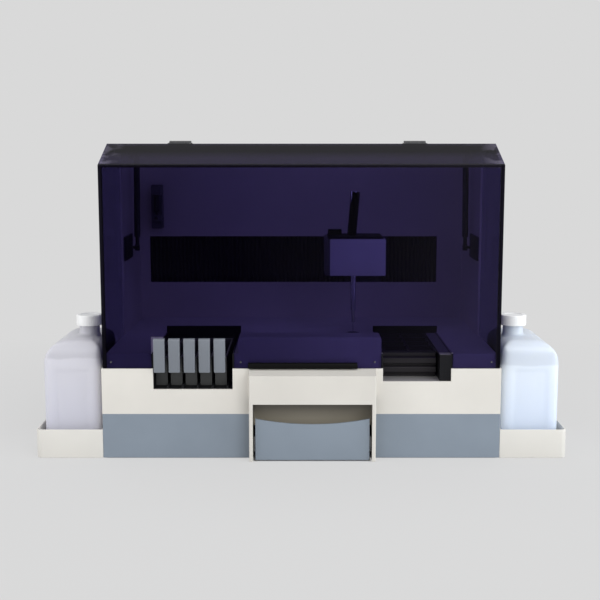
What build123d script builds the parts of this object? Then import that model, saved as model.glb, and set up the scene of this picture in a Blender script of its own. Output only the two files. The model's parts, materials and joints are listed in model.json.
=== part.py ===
from build123d import *
from math import atan2, cos, degrees, hypot, radians, sin
import os

# Coagulation analyzer. Millimetres, +Z up, bench at z = 0, the operator stands on the -Y side.
# Depths are measured back from the front plane, the plane of the hood's front face.

# Whole instrument
body_width = 750.0
body_depth = 612.0
bezel_reach = 28.0
roof_height = 590.0
front_y = bezel_reach - (body_depth + bezel_reach) / 2

# Sheet and wall thicknesses
shell_wall = 4.0
sheet = 2.0
bay_wall = 3.0
hood_wall = 4.0

# Heights of the base
foot_height = 12.0
pan_height = 28.0
skirt_bottom = 1.0
panel_top = 85.5
shell_top = 172.5
deck_top = 200.0
deck_thick = 4.0
ledge_thick = 4.0
ledge_reach = 26.0

# Hood
hood_width = 744.0
hood_gap = 0.7
bevel_drop = 39.0
bevel_depth = 102.0
hood_depth = 428.5
hinge_cut = 3.0
hinge_cut_depth = 6.5
notch_margin = 3.0

# Rear housing
housing_front = 431.5
wall_depth = 443.0
cheek_front = 207.0
cheek_drop = 12.0
cheek_inset = 2.0
cover_recess = 3.0
rim_width = 14.0
rim_thick = 8.0
housing_round = 3.0
slot_left = -340.5
slot_right = 306.0
slot_bottom = 281.0
slot_top = 385.0

# Hinges of the hood
hinge_places = (-267.0, 251.0)
hinge_depth = 430.0
leaf_width = 48.0
leaf_thick = 2.5
leaf_reach = 38.0
knuckle_radius = 5.0
pin_radius = 2.0
pin_clearance = 0.05
knuckle_gap = 0.4
centre_knuckle = 18.0
pin_head_radius = 3.2
pin_head_length = 2.0

# Gas struts
strut_x = 347.5
strut_low_depth = 300.0
strut_low_height = 373.0
strut_high_depth = 314.0
strut_high_drop = 24.0
strut_eye_radius = 7.0
strut_eye_width = 9.0
strut_eye_bite = 3.0
strut_rod_radius = 4.0
strut_fit = 0.05
strut_cylinder_radius = 6.5
strut_cylinder_start = 22.0
strut_rod_margin = 21.5
strut_end_wall = 6.0
strut_pin_radius = 3.0
bracket_thick = 4.0
hood_bracket_gap = 1.0
hood_bracket_thick = 3.5
bracket_front = 210.0
bracket_drop = 20.0
bracket_rise = 29.0

# Centre drawer and its bezel
bezel_left = -97.5
bezel_right = 139.0
bezel_cheek = 7.0
bezel_face_top = 164.0
drawer_opening_top = 110.0
drawer_face_top = 81.0
drawer_face_recess = 8.0
drawer_face_thick = 4.0
drawer_side_gap = 4.5
drawer_foot_gap = 1.0
drawer_box_inset = 1.0
drawer_scoop = 10.5
drawer_floor = 16.0
drawer_height = 42.0
drawer_length = 300.0
well_depth = 10.0
well_wall = 3.0
well_gap = 4.0
well_round = 6.0
drawer_wall = 2.0
rail_height = 26.0
rail_width = 4.0
rail_gap = 3.0

# Sample bay and racks
bay_depth = 246.0
sample_left = -278.0
sample_right = -129.0
sample_floor = 133.0
fence_top = 213.0
rack_count = 5
rack_first = -265.8
rack_pitch = 28.2
rack_width = 22.0
rack_gap = 0.6
rack_wall = 3.0
rack_floor = 4.4
rack_top = 188.0
rack_rear = 238.0
rack_block = 12.0
rack_setback = 32.0
rack_pockets = 10
rack_divider = 2.0
rack_divider_top = 168.0
handle_bottom = 166.0
handle_top = 230.0
handle_reach = 6.0
handle_thick = 12.0
handle_width = 21.0
handle_arm_width = 12.0
handle_arm_bottom = 172.0
handle_arm_top = 186.0
guide_rib_width = 3.0
guide_rib_height = 5.0

# Reagent bay and tray
reagent_left = 153.0
reagent_right = 281.0
reagent_floor = 148.0
reagent_guide_width = 21.0
reagent_side_gap = 3.0
reagent_top = 198.0
reagent_wall = 4.0
reagent_rows = 4
reagent_columns = 2
lip_drop = 11.5
lip_height = 13.0
lip_pitch = 17.5
lip_reach = 9.0
lip_count = 2
tray_face_depth = 48.0

# Deck furniture
sill_left = -118.0
sill_right = 150.0
sill_depth = 62.0
sill_top = 231.0
deck_inset = 2.0
unit_left = -100.0
unit_right = 70.0
unit_front = 100.0
unit_rear = 200.0
unit_bottom = 150.0
unit_stand = 3.5
unit_ports = 12
unit_port_radius = 1.8
unit_port_depth = 8.0
wash_radius = 14.0
wash_well_radius = 10.0
wash_depth = 24.0
wash_rim = 3.0

# Pipetting arm
probe_x = 107.0
probe_depth = 225.0
rod_radius = 5.5
rod_top = 495.0
rod_bottom = 250.0
sleeve_radius = 4.0
sleeve_bottom = 225.0
needle_radius = 1.0
needle_tip = 206.0
collar_radius = 7.5
collar_height = 42.0
arm_x = 140.0
arm_width = 36.0
arm_height = 40.0
arm_bottom = 344.0
arm_front = 186.0
arm_rear = 600.0
arm_wall = 3.0
arm_fit = 0.05
head_left = 48.0
head_right = 169.5
head_bottom = 327.5
head_top = 401.0
head_front = 170.0
head_rear = 290.0
head_wall = 3.0
head_chamfer = 10.0
head_corner = 3.0
carriage_left = 100.0
carriage_right = 180.0
carriage_plate = 4.0
carriage_rear = 520.0
carriage_wall = 6.0
beam_bottom = 292.0
beam_height = 36.0
beam_depth = 30.0
beam_front = 476.0
rail_size = 12.0
rail_fit = 0.1
motor_size = 56.0
motor_length = 60.0

# Bellows over the slot
bellows_depth = 448.0
bellows_fold = 7.0
bellows_thick = 1.0
bellows_pitch = 9.0
bellows_overlap = 2.0

# Side trays, bottles and caps
tray_width = 127.0
tray_depth = 220.0
tray_height = 55.0
tray_wall = 3.0
tray_corner = 12.0
bottle_width = 110.0
bottle_gap = 4.5
bottle_front_gap = 20.0
bottle_depth = 180.0
bottle_top = 221.0
bottle_shoulder = 48.0
bottle_front_round = 26.0
bottle_corner = 14.0
neck_x = 414.0
neck_depth = 100.0
neck_radius = 20.0
neck_height = 35.5
cap_radius = 25.0
cap_lift = 19.5
cap_height = 20.0

# Rear services
supply_width = 140.0
supply_height = 90.0
supply_margin = 20.0
supply_x = 250.0
board_width = 380.0
board_thick = 2.0
board_margin = 25.0
board_x = -60.0
board_standoff = 10.0
inlet_x = -300.0
inlet_z = 70.0
inlet_edge = 24.0
inlet_height = 34.0
inlet_recess = 16.0
inlet_base = 6.0
inlet_socket = (28.0, 20.0)
inlet_pin_length = 8.0
inlet_pin_pitch = 7.0
inlet_flange = 1.0
switch_x = -256.0
switch_width = 20.0
switch_gap = 0.6
switch_radius = 11.0
switch_sink = 9.0
vent_rows = 5
vent_columns = 12
vent_length = 34.0
vent_height = 4.0
vent_pitch_x = 46.0
vent_pitch_z = 14.0
vent_centre_z = 440.0
screw_head_radius = 3.6
screw_head_height = 1.8
screw_shank_radius = 2.0
screw_rows = (60.0, 220.0, 380.0, 540.0)
foot_radius = 18.0
foot_inset = 45.0
grip_left = -99.0
grip_right = 105.0
grip_height = 11.0
grip_reach = 9.0

# Worked out from the sizes above
half_body = body_width / 2
inner_x = half_body - shell_wall
half_hood = hood_width / 2
hood_bottom = shell_top + hood_gap
deck_half = half_hood - hood_wall - cheek_inset
cheek_outer = deck_half
cheek_inner = cheek_outer - shell_wall
deck_front = hood_wall + deck_inset
hinge_z = roof_height + leaf_thick
roof_under = roof_height - hood_wall
front_face_top = roof_height - bevel_drop
cheek_top = roof_height - cheek_drop
strut_high_height = roof_height - strut_high_drop
cover_outer = body_depth - cover_recess
cover_inner = cover_outer - sheet
service_front = wall_depth + shell_wall
pan_floor = foot_height + sheet
pan_top = foot_height + pan_height
rack_bottom = sample_floor + rack_gap
tray_bottom = reagent_floor + rack_gap
screw_x = inner_x - rim_width / 2
module_x = (inlet_x - inlet_edge, switch_x + switch_width / 2 + switch_gap + inlet_base)
module_z = (inlet_z - inlet_height / 2, inlet_z + inlet_height / 2)
socket_floor = cover_outer - inlet_recess
knuckle_cut_half = leaf_width / 2 + pin_head_length + hinge_cut
bellows_low = slot_bottom - bellows_overlap
bellows_high = slot_top + bellows_overlap


def back(depth):
    """Y of a place that lies this far behind the front plane."""
    return front_y + depth


def block(x_span, depth_span, z_span, mode=Mode.ADD):
    """Box between two corners in X, depth and Z, in the part being built."""
    size = [abs(span[1] - span[0]) for span in (x_span, depth_span, z_span)]
    middle_y = back((depth_span[0] + depth_span[1]) / 2)
    middle = ((x_span[0] + x_span[1]) / 2, middle_y, (z_span[0] + z_span[1]) / 2)
    with Locations(middle):
        Box(*size, mode=mode)


def post(x, depth, z_span, radius, mode=Mode.ADD):
    """Upright cylinder in the part being built."""
    height = z_span[1] - z_span[0]
    with Locations((x, back(depth), z_span[0] + height / 2)):
        Cylinder(radius, height, mode=mode)


def bar_along_x(x_span, depth, z, radius, mode=Mode.ADD):
    """Cylinder that lies along X in the part being built."""
    with Locations(((x_span[0] + x_span[1]) / 2, back(depth), z)):
        Cylinder(radius, abs(x_span[1] - x_span[0]), rotation=(0, 90, 0), mode=mode)


def save(piece, name):
    """Labels a finished piece and writes its STEP file."""
    piece.part.label = name
    export_step(piece.part, f"parts/{name}.step")


os.makedirs("parts", exist_ok=True)

# Base plate: a folded steel pan that everything stands on, with the drawer's two guide rails.
with BuildPart() as base_plate:
    pan_depths = (shell_wall + 1, cover_inner)
    block((-inner_x, inner_x), pan_depths, (foot_height, pan_top))
    block(
        (sheet - inner_x, inner_x - sheet),
        (pan_depths[0] + sheet, pan_depths[1] - sheet),
        (pan_floor, pan_top),
        mode=Mode.SUBTRACT,
    )
    opening_left = bezel_left + bezel_cheek
    opening_right = bezel_right - bezel_cheek
    block(
        (opening_left, opening_right),
        (pan_depths[0], pan_depths[0] + sheet),
        (pan_floor, pan_top),
        mode=Mode.SUBTRACT,
    )
    rail_top = pan_floor + rail_height
    rail_depths = (pan_depths[0] + sheet, drawer_length)
    rail_reach = drawer_side_gap + drawer_box_inset - rail_gap
    for outer_edge, side in ((opening_left, -1), (opening_right, 1)):
        block(
            (outer_edge - side * rail_reach, outer_edge + side * rail_width),
            rail_depths,
            (pan_floor, rail_top),
        )
save(base_plate, "base_plate")

# Feet: four rubber feet under the pan.
with BuildPart() as feet:
    for side in (-1, 1):
        for depth in (foot_inset, cover_outer - foot_inset):
            post(side * (inner_x - foot_inset), depth, (0, foot_height), foot_radius)
    chamfer(feet.edges().group_by(Axis.Z)[0], 1.5)
save(feet, "feet")

# Body shell: the off-white front band and sides, with the two loading notches and the deck's ledge.
shell_cut_top = shell_top + 1
with BuildPart() as body_shell:
    block((-half_body, half_body), (0, housing_front), (skirt_bottom, shell_top))
    block(
        (-inner_x, inner_x),
        (shell_wall, housing_front),
        (skirt_bottom, shell_cut_top),
        mode=Mode.SUBTRACT,
    )
    block((-half_body, half_body), (0, shell_wall), (skirt_bottom, panel_top), mode=Mode.SUBTRACT)
    ledge_top = shell_top - ledge_thick + 0.5
    for side in (-1, 1):
        block(
            (side * inner_x, side * (inner_x - ledge_reach)),
            (shell_wall, housing_front),
            (ledge_top - ledge_thick, ledge_top),
        )
    block(
        (-inner_x + ledge_reach, inner_x - ledge_reach),
        (shell_wall, ledge_reach),
        (ledge_top - ledge_thick, ledge_top),
    )
    for left, right, floor in (
        (sample_left, sample_right, sample_floor),
        (reagent_left, reagent_right, reagent_floor),
    ):
        block((left, right), (0, shell_wall), (floor, shell_cut_top), mode=Mode.SUBTRACT)
        block(
            (left - bay_wall, right + bay_wall),
            (shell_wall, ledge_reach),
            (floor, shell_cut_top),
            mode=Mode.SUBTRACT,
        )
    block(
        (opening_left, opening_right),
        (0, shell_wall),
        (skirt_bottom, drawer_opening_top + shell_wall),
        mode=Mode.SUBTRACT,
    )
save(body_shell, "body_shell")

# Lower front panels, painted grey, either side of the bezel.
panel_spans = {
    "lower_panel_left": (-half_body, bezel_left),
    "lower_panel_right": (bezel_right, half_body),
}
for panel_name, (panel_left, panel_right) in panel_spans.items():
    with BuildPart() as lower_panel:
        block((panel_left, panel_right), (0, shell_wall), (skirt_bottom, panel_top))
        fillet(lower_panel.edges().filter_by(Axis.Z).group_by(Axis.Y)[0], 1.2)
    save(lower_panel, panel_name)

# Centre bezel: it stands proud of the front, frames the drawer and has a sloped top. Behind the
# opening above the drawer it has a well for the fingers.
with BuildPart() as centre_bezel:
    with BuildSketch(Plane.YZ.offset(bezel_left)):
        with BuildLine():
            Polyline(
                (back(-bezel_reach), skirt_bottom),
                (back(-bezel_reach), bezel_face_top),
                (back(0), shell_top),
                (back(0), skirt_bottom),
                close=True,
            )
        make_face()
    extrude(amount=bezel_right - bezel_left)
    front_edges = centre_bezel.edges().group_by(Axis.Y)[0]
    fillet(front_edges.filter_by(Axis.Z), 2.5)
    block(
        (opening_left, opening_right),
        (-bezel_reach, 0),
        (skirt_bottom, drawer_opening_top),
        mode=Mode.SUBTRACT,
    )
    block(
        (bezel_left + shell_wall, bezel_right - shell_wall),
        (shell_wall - bezel_reach, 0),
        (drawer_opening_top + shell_wall, bezel_face_top - shell_wall),
        mode=Mode.SUBTRACT,
    )
    well_bottom = drawer_floor + drawer_height + well_gap
    block(
        (opening_left, opening_right),
        (0, well_depth + well_wall),
        (well_bottom, drawer_opening_top + shell_wall),
    )
    block(
        (opening_left, opening_right),
        (0, well_depth),
        (well_bottom, drawer_opening_top),
        mode=Mode.SUBTRACT,
    )
    well_corner = Vector(0, back(well_depth), drawer_opening_top)
    lengthwise = centre_bezel.edges().filter_by(Axis.X)
    fillet(lengthwise.sort_by_distance(well_corner)[0], well_round)
save(centre_bezel, "centre_bezel")

# Drawer: a steel box behind a grey front whose top edge is scooped for the fingers.
drawer_left = opening_left + drawer_side_gap
drawer_right = opening_right - drawer_side_gap
drawer_middle = (drawer_left + drawer_right) / 2
face_front = drawer_face_recess - bezel_reach
face_back = face_front + drawer_face_thick
with BuildPart() as drawer_front:
    with BuildSketch(Plane.XZ.offset(-back(face_back))):
        with BuildLine():
            Polyline(
                (drawer_right, drawer_face_top),
                (drawer_right, skirt_bottom + drawer_foot_gap),
                (drawer_left, skirt_bottom + drawer_foot_gap),
                (drawer_left, drawer_face_top),
            )
            ThreePointArc(
                (drawer_left, drawer_face_top),
                (drawer_middle, drawer_face_top - drawer_scoop),
                (drawer_right, drawer_face_top),
            )
        make_face()
    extrude(amount=drawer_face_thick)
save(drawer_front, "drawer_front")

with BuildPart() as drawer_box:
    box_left = drawer_left + drawer_box_inset
    box_right = drawer_right - drawer_box_inset
    box_top = drawer_floor + drawer_height
    block((box_left, box_right), (face_back, drawer_length), (drawer_floor, box_top))
    block(
        (box_left + drawer_wall, box_right - drawer_wall),
        (face_back + drawer_wall, drawer_length - drawer_wall),
        (drawer_floor + drawer_wall, box_top),
        mode=Mode.SUBTRACT,
    )
save(drawer_box, "drawer_box")

# Work deck under the hood, with cut-outs for the bays, the measuring unit and the wash well.
with BuildPart() as work_deck:
    deck_skirt = ledge_top
    block((-deck_half, deck_half), (deck_front, wall_depth), (deck_skirt, deck_top))
    block(
        (deck_thick - deck_half, deck_half - deck_thick),
        (deck_front + deck_thick, wall_depth),
        (deck_skirt, deck_top - deck_thick),
        mode=Mode.SUBTRACT,
    )
    for left, right in ((sample_left, sample_right), (reagent_left, reagent_right)):
        block(
            (left - bay_wall, right + bay_wall),
            (deck_front, bay_depth + bay_wall),
            (deck_skirt, deck_top),
            mode=Mode.SUBTRACT,
        )
    block(
        (unit_left, unit_right),
        (unit_front, unit_rear),
        (deck_skirt, deck_top),
        mode=Mode.SUBTRACT,
    )
    post(probe_x, probe_depth, (deck_skirt, deck_top), wash_radius, mode=Mode.SUBTRACT)
save(work_deck, "work_deck")

# Front sill: the raised cover behind the hood's front, between the two bays.
with BuildPart() as front_sill:
    block((sill_left, sill_right), (deck_front, sill_depth), (deck_top, sill_top))
    fillet(front_sill.edges().group_by(Axis.Z)[-1], 5)
    block(
        (sill_left + bay_wall, sill_right - bay_wall),
        (deck_front + bay_wall, sill_depth - bay_wall),
        (deck_top, sill_top - bay_wall),
        mode=Mode.SUBTRACT,
    )
save(front_sill, "front_sill")

# Sample bay: a dark open-fronted well with a guide rib between each pair of racks and a fence
# behind them.
rack_centres = [rack_first + index * rack_pitch for index in range(rack_count)]
with BuildPart() as sample_bay:
    block(
        (sample_left - bay_wall, sample_right + bay_wall),
        (shell_wall, bay_depth + bay_wall),
        (sample_floor - bay_wall, deck_top),
    )
    block(
        (sample_left - bay_wall, sample_right + bay_wall),
        (bay_depth, bay_depth + bay_wall),
        (deck_top, fence_top),
    )
    block(
        (sample_left, sample_right),
        (shell_wall, bay_depth),
        (sample_floor, deck_top),
        mode=Mode.SUBTRACT,
    )
    for centre in rack_centres[1:] + [rack_centres[-1] + rack_pitch]:
        rib_middle = centre - rack_pitch / 2
        block(
            (rib_middle - guide_rib_width / 2, rib_middle + guide_rib_width / 2),
            (shell_wall, bay_depth),
            (sample_floor, sample_floor + guide_rib_height),
        )
save(sample_bay, "sample_bay")

# Sample racks: a channel with a row of tube pockets, set back from the front, and a pale handle
# that an arm carries out to the front.
for index, centre in enumerate(rack_centres):
    rack_left = centre - rack_width / 2
    rack_right = centre + rack_width / 2
    channel_front = rack_setback + rack_block
    channel_rear = rack_rear - rack_wall
    pocket_pitch = (channel_rear - channel_front) / rack_pockets
    with BuildPart() as rack:
        block((rack_left, rack_right), (rack_setback, rack_rear), (rack_bottom, rack_top))
        block(
            (rack_left + rack_wall, rack_right - rack_wall),
            (channel_front, channel_rear),
            (rack_bottom + rack_floor, rack_top),
            mode=Mode.SUBTRACT,
        )
        for pocket in range(1, rack_pockets):
            divider = channel_front + pocket * pocket_pitch
            block(
                (rack_left + rack_wall, rack_right - rack_wall),
                (divider - rack_divider / 2, divider + rack_divider / 2),
                (rack_bottom + rack_floor, rack_divider_top),
            )
    save(rack, f"rack_{index + 1}")

    with BuildPart() as rack_handle:
        handle_back = handle_thick - handle_reach
        block(
            (centre - handle_width / 2, centre + handle_width / 2),
            (-handle_reach, handle_back),
            (handle_bottom, handle_top),
        )
        fillet(rack_handle.edges().group_by(Axis.Z)[-1], 2.5)
        block(
            (centre - handle_arm_width / 2, centre + handle_arm_width / 2),
            (handle_back, rack_setback),
            (handle_arm_bottom, handle_arm_top),
        )
    save(rack_handle, f"rack_handle_{index + 1}")

# Reagent bay: a second well, with a fixed guide cheek at its right.
guide_left = reagent_right - reagent_guide_width
with BuildPart() as reagent_bay:
    block(
        (reagent_left - bay_wall, reagent_right + bay_wall),
        (shell_wall, bay_depth + bay_wall),
        (reagent_floor - bay_wall, deck_top),
    )
    block(
        (reagent_left - bay_wall, reagent_right + bay_wall),
        (bay_depth, bay_depth + bay_wall),
        (deck_top, fence_top),
    )
    block(
        (reagent_left, guide_left),
        (shell_wall, bay_depth),
        (reagent_floor, deck_top),
        mode=Mode.SUBTRACT,
    )
    block(
        (guide_left, reagent_right),
        (shell_wall, bay_depth),
        (reagent_top, deck_top),
        mode=Mode.SUBTRACT,
    )
save(reagent_bay, "reagent_bay")

# Reagent tray: bottle compartments behind a front with two rounded lips.
reagent_x = (reagent_left + reagent_side_gap, guide_left - reagent_side_gap)
with BuildPart() as reagent_tray:
    block(reagent_x, (tray_face_depth, rack_rear), (tray_bottom, reagent_top))
    cell_width = (reagent_x[1] - reagent_x[0] - reagent_wall) / reagent_columns
    cell_depth = (rack_rear - tray_face_depth - reagent_wall) / reagent_rows
    for column in range(reagent_columns):
        cell_left = reagent_x[0] + reagent_wall + column * cell_width
        for row in range(reagent_rows):
            cell_front = tray_face_depth + reagent_wall + row * cell_depth
            block(
                (cell_left, cell_left + cell_width - reagent_wall),
                (cell_front, cell_front + cell_depth - reagent_wall),
                (tray_bottom + reagent_wall, reagent_top),
                mode=Mode.SUBTRACT,
            )
    for lip in range(lip_count):
        lip_top = reagent_top - lip_drop - lip * lip_pitch
        with BuildSketch(Plane.YZ.offset(reagent_x[0])):
            with Locations((back(tray_face_depth - lip_reach / 2 + 1), lip_top - lip_height / 2)):
                RectangleRounded(lip_reach + 2, lip_height, 3)
        extrude(amount=reagent_x[1] - reagent_x[0])
save(reagent_tray, "reagent_tray")

# Measuring unit: warmed block let into the deck, with a row of small probe ports.
with BuildPart() as measuring_unit:
    unit_top = deck_top + unit_stand
    block((unit_left, unit_right), (unit_front, unit_rear), (unit_bottom, unit_top))
    port_pitch = (unit_right - unit_left) / (unit_ports + 1)
    for port in range(unit_ports):
        post(
            unit_left + (port + 1) * port_pitch,
            (unit_front + unit_rear) / 2,
            (unit_top - unit_port_depth, unit_top),
            unit_port_radius,
            mode=Mode.SUBTRACT,
        )
save(measuring_unit, "measuring_unit")

# Wash station: a cup under the parked probe.
with BuildPart() as wash_station:
    wash_top = deck_top + wash_rim
    post(probe_x, probe_depth, (wash_top - wash_depth, wash_top), wash_radius)
    post(
        probe_x,
        probe_depth,
        (wash_top - wash_depth + wash_rim, wash_top),
        wash_well_radius,
        mode=Mode.SUBTRACT,
    )
save(wash_station, "wash_station")

# Rear housing: top, sides, the slotted wall behind the work space and two cheeks inside the hood.
with BuildPart() as rear_housing:
    block((-half_body, half_body), (housing_front, body_depth), (skirt_bottom, roof_height))
    block(
        (-inner_x, inner_x),
        (housing_front, body_depth),
        (skirt_bottom, roof_under),
        mode=Mode.SUBTRACT,
    )
    block((-inner_x, inner_x), (wall_depth, wall_depth + shell_wall), (deck_top, roof_under))
    block(
        (-inner_x, inner_x),
        (wall_depth, wall_depth + shell_wall),
        (deck_skirt, deck_top),
    )
    for side in (-1, 1):
        block(
            (side * cheek_inner, side * cheek_outer),
            (cheek_front, wall_depth),
            (deck_top, cheek_top),
        )
        block(
            (side * inner_x, side * (inner_x - rim_width)),
            (cover_inner - rim_thick, cover_inner),
            (pan_top, roof_under),
        )
        for screw_z in screw_rows:
            with Locations((side * screw_x, back(cover_inner - rim_thick / 2), screw_z)):
                Cylinder(screw_shank_radius, rim_thick, rotation=(90, 0, 0), mode=Mode.SUBTRACT)
    block(
        (rim_width - inner_x, inner_x - rim_width),
        (cover_inner - rim_thick, cover_inner),
        (roof_under - rim_width, roof_under),
    )
    block(
        (slot_left, slot_right),
        (wall_depth, wall_depth + shell_wall),
        (slot_bottom, slot_top),
        mode=Mode.SUBTRACT,
    )
    for place in hinge_places:
        block(
            (place - knuckle_cut_half, place + knuckle_cut_half),
            (housing_front, hinge_depth + hinge_cut_depth),
            (roof_under, roof_height),
            mode=Mode.SUBTRACT,
        )
    top_edges = rear_housing.edges().filter_by(Axis.Y).group_by(Axis.Z)[-1].sort_by(Axis.X)
    fillet((top_edges[0], top_edges[-1]), housing_round)
save(rear_housing, "rear_housing")

# Back cover: a screwed sheet with vents, and cut-outs for the inlet and the switch.
with BuildPart() as back_cover:
    block(
        (-inner_x, inner_x),
        (cover_inner, cover_outer),
        (pan_floor, roof_under),
    )
    for row in range(vent_rows):
        for column in range(vent_columns):
            vent_x = (column - (vent_columns - 1) / 2) * vent_pitch_x
            vent_z = vent_centre_z + (row - (vent_rows - 1) / 2) * vent_pitch_z
            block(
                (vent_x - vent_length / 2, vent_x + vent_length / 2),
                (cover_inner, cover_outer),
                (vent_z - vent_height / 2, vent_z + vent_height / 2),
                mode=Mode.SUBTRACT,
            )
    block(module_x, (cover_inner, cover_outer), module_z, mode=Mode.SUBTRACT)
    for side in (-1, 1):
        for screw_z in screw_rows:
            with Locations((side * screw_x, back(cover_inner + sheet / 2), screw_z)):
                Cylinder(screw_shank_radius, sheet, rotation=(90, 0, 0), mode=Mode.SUBTRACT)
save(back_cover, "back_cover")

# Cover screws, four down each side, through the cover and into the housing's rim.
with BuildPart() as cover_screws:
    for side in (-1, 1):
        for screw_z in screw_rows:
            head_middle = back(cover_outer + screw_head_height / 2)
            with Locations((side * screw_x, head_middle, screw_z)):
                Cylinder(screw_head_radius, screw_head_height, rotation=(90, 0, 0))
            shank_length = sheet + rim_thick
            with Locations((side * screw_x, back(cover_outer - shank_length / 2), screw_z)):
                Cylinder(screw_shank_radius, shank_length, rotation=(90, 0, 0))
save(cover_screws, "cover_screws")

# Hood: one tinted shell, a front, two sides, a sloped front edge and a roof.
hood_outline = (
    (0, hood_bottom),
    (0, front_face_top),
    (bevel_depth, roof_height),
    (hood_depth, roof_height),
    (hood_depth, hood_bottom),
)
bevel_angle = atan2(bevel_drop, bevel_depth)
inner_face_top = front_face_top - hood_wall * (1 - sin(bevel_angle)) / cos(bevel_angle)
inner_bevel_end = bevel_depth + hood_wall * (1 - cos(bevel_angle)) / sin(bevel_angle)
hood_hollow = (
    (hood_wall, hood_bottom),
    (hood_wall, inner_face_top),
    (inner_bevel_end, roof_under),
    (hood_depth, roof_under),
    (hood_depth, hood_bottom),
)
with BuildPart() as hood_shell:
    with BuildSketch(Plane.YZ.offset(-half_hood)):
        with BuildLine():
            Polyline(*[(back(depth), z) for depth, z in hood_outline], close=True)
        make_face()
    extrude(amount=hood_width)
    with BuildSketch(Plane.YZ.offset(hood_wall - half_hood)):
        with BuildLine():
            Polyline(*[(back(depth), z) for depth, z in hood_hollow], close=True)
        make_face()
    extrude(amount=hood_width - 2 * hood_wall, mode=Mode.SUBTRACT)
    block(
        (sample_left - notch_margin, sample_right + notch_margin),
        (0, hood_wall),
        (hood_bottom, handle_top + notch_margin),
        mode=Mode.SUBTRACT,
    )
    block(
        (reagent_left - notch_margin, reagent_right + notch_margin),
        (0, hood_wall),
        (hood_bottom, deck_top + notch_margin),
        mode=Mode.SUBTRACT,
    )
    for place in hinge_places:
        block(
            (place - knuckle_cut_half, place + knuckle_cut_half),
            (hinge_depth - hinge_cut_depth, hood_depth),
            (roof_under, roof_height),
            mode=Mode.SUBTRACT,
        )
save(hood_shell, "hood_shell")

# Grip along the hood's lower front edge.
with BuildPart() as hood_grip:
    block((grip_left, grip_right), (-grip_reach, 0), (hood_bottom, hood_bottom + grip_height))
    fillet(hood_grip.edges().filter_by(Axis.X).group_by(Axis.Y)[0], 3)
save(hood_grip, "hood_grip")

# Hinges: a fixed leaf with the middle knuckle, a hood leaf with the two outer ones, and the pin.
side_knuckle = (leaf_width - centre_knuckle) / 2 - knuckle_gap
with BuildPart() as fixed_hinge_leaves:
    for place in hinge_places:
        middle = (place - centre_knuckle / 2, place + centre_knuckle / 2)
        block(
            (place - leaf_width / 2, place + leaf_width / 2),
            (hinge_depth + knuckle_radius + 1.5, hinge_depth + leaf_reach),
            (roof_height, hinge_z),
        )
        block(
            middle,
            (hinge_depth, hinge_depth + knuckle_radius + 2),
            (hinge_z - leaf_thick, hinge_z),
        )
        bar_along_x(middle, hinge_depth, hinge_z, knuckle_radius)
        bar_along_x(middle, hinge_depth, hinge_z, pin_radius, mode=Mode.SUBTRACT)
save(fixed_hinge_leaves, "fixed_hinge_leaves")

with BuildPart() as hood_hinge_leaves:
    for place in hinge_places:
        block(
            (place - leaf_width / 2, place + leaf_width / 2),
            (hinge_depth - leaf_reach, hinge_depth - knuckle_radius - 1.5),
            (roof_height, hinge_z),
        )
        for side in (-1, 1):
            edges = (
                place + side * leaf_width / 2,
                place + side * (leaf_width / 2 - side_knuckle),
            )
            knuckle = (min(edges), max(edges))
            block(
                knuckle,
                (hinge_depth - knuckle_radius - 2, hinge_depth),
                (hinge_z - leaf_thick, hinge_z),
            )
            bar_along_x(knuckle, hinge_depth, hinge_z, knuckle_radius)
            bar_along_x(
                knuckle,
                hinge_depth,
                hinge_z,
                pin_radius + pin_clearance,
                mode=Mode.SUBTRACT,
            )
save(hood_hinge_leaves, "hood_hinge_leaves")

with BuildPart() as hinge_pins:
    for place in hinge_places:
        pin_half = leaf_width / 2 + knuckle_gap
        bar_along_x((place - pin_half, place + pin_half), hinge_depth, hinge_z, pin_radius)
        for side in (-1, 1):
            head = (place + side * pin_half, place + side * (pin_half + pin_head_length))
            bar_along_x((min(head), max(head)), hinge_depth, hinge_z, pin_head_radius)
save(hinge_pins, "hinge_pins")

# Gas struts: the rod turns on a pin in the cheek's bracket, the cylinder rides up with the hood.
strut_rise = strut_high_height - strut_low_height
strut_run = strut_high_depth - strut_low_depth
strut_length = hypot(strut_rise, strut_run)
strut_cylinder_end = strut_length - strut_eye_radius + strut_eye_bite
strut_rod_end = strut_length - strut_rod_margin
for side, side_name in ((-1, "left"), (1, "right")):
    strut_plane = Plane(
        origin=(side * strut_x, back(strut_low_depth), strut_low_height),
        x_dir=(1, 0, 0),
        z_dir=(0, strut_run, strut_rise),
    )
    with BuildPart(strut_plane) as strut_rod:
        Cylinder(strut_eye_radius, strut_eye_width, rotation=(0, 90, 0))
        with Locations((0, 0, strut_rod_end / 2)):
            Cylinder(strut_rod_radius, strut_rod_end)
        Cylinder(
            strut_pin_radius + strut_fit,
            strut_eye_width,
            rotation=(0, 90, 0),
            mode=Mode.SUBTRACT,
        )
    save(strut_rod, f"strut_rod_{side_name}")

    with BuildPart(strut_plane) as strut_cylinder:
        with Locations((0, 0, (strut_cylinder_start + strut_cylinder_end) / 2)):
            Cylinder(strut_cylinder_radius, strut_cylinder_end - strut_cylinder_start)
        with Locations((0, 0, strut_length)):
            Cylinder(strut_eye_radius, strut_eye_width, rotation=(0, 90, 0))
        bore_end = strut_cylinder_end - strut_end_wall
        with Locations((0, 0, (strut_cylinder_start + bore_end) / 2)):
            Cylinder(
                strut_rod_radius + strut_fit,
                bore_end - strut_cylinder_start,
                mode=Mode.SUBTRACT,
            )
    save(strut_cylinder, f"strut_cylinder_{side_name}")

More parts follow.
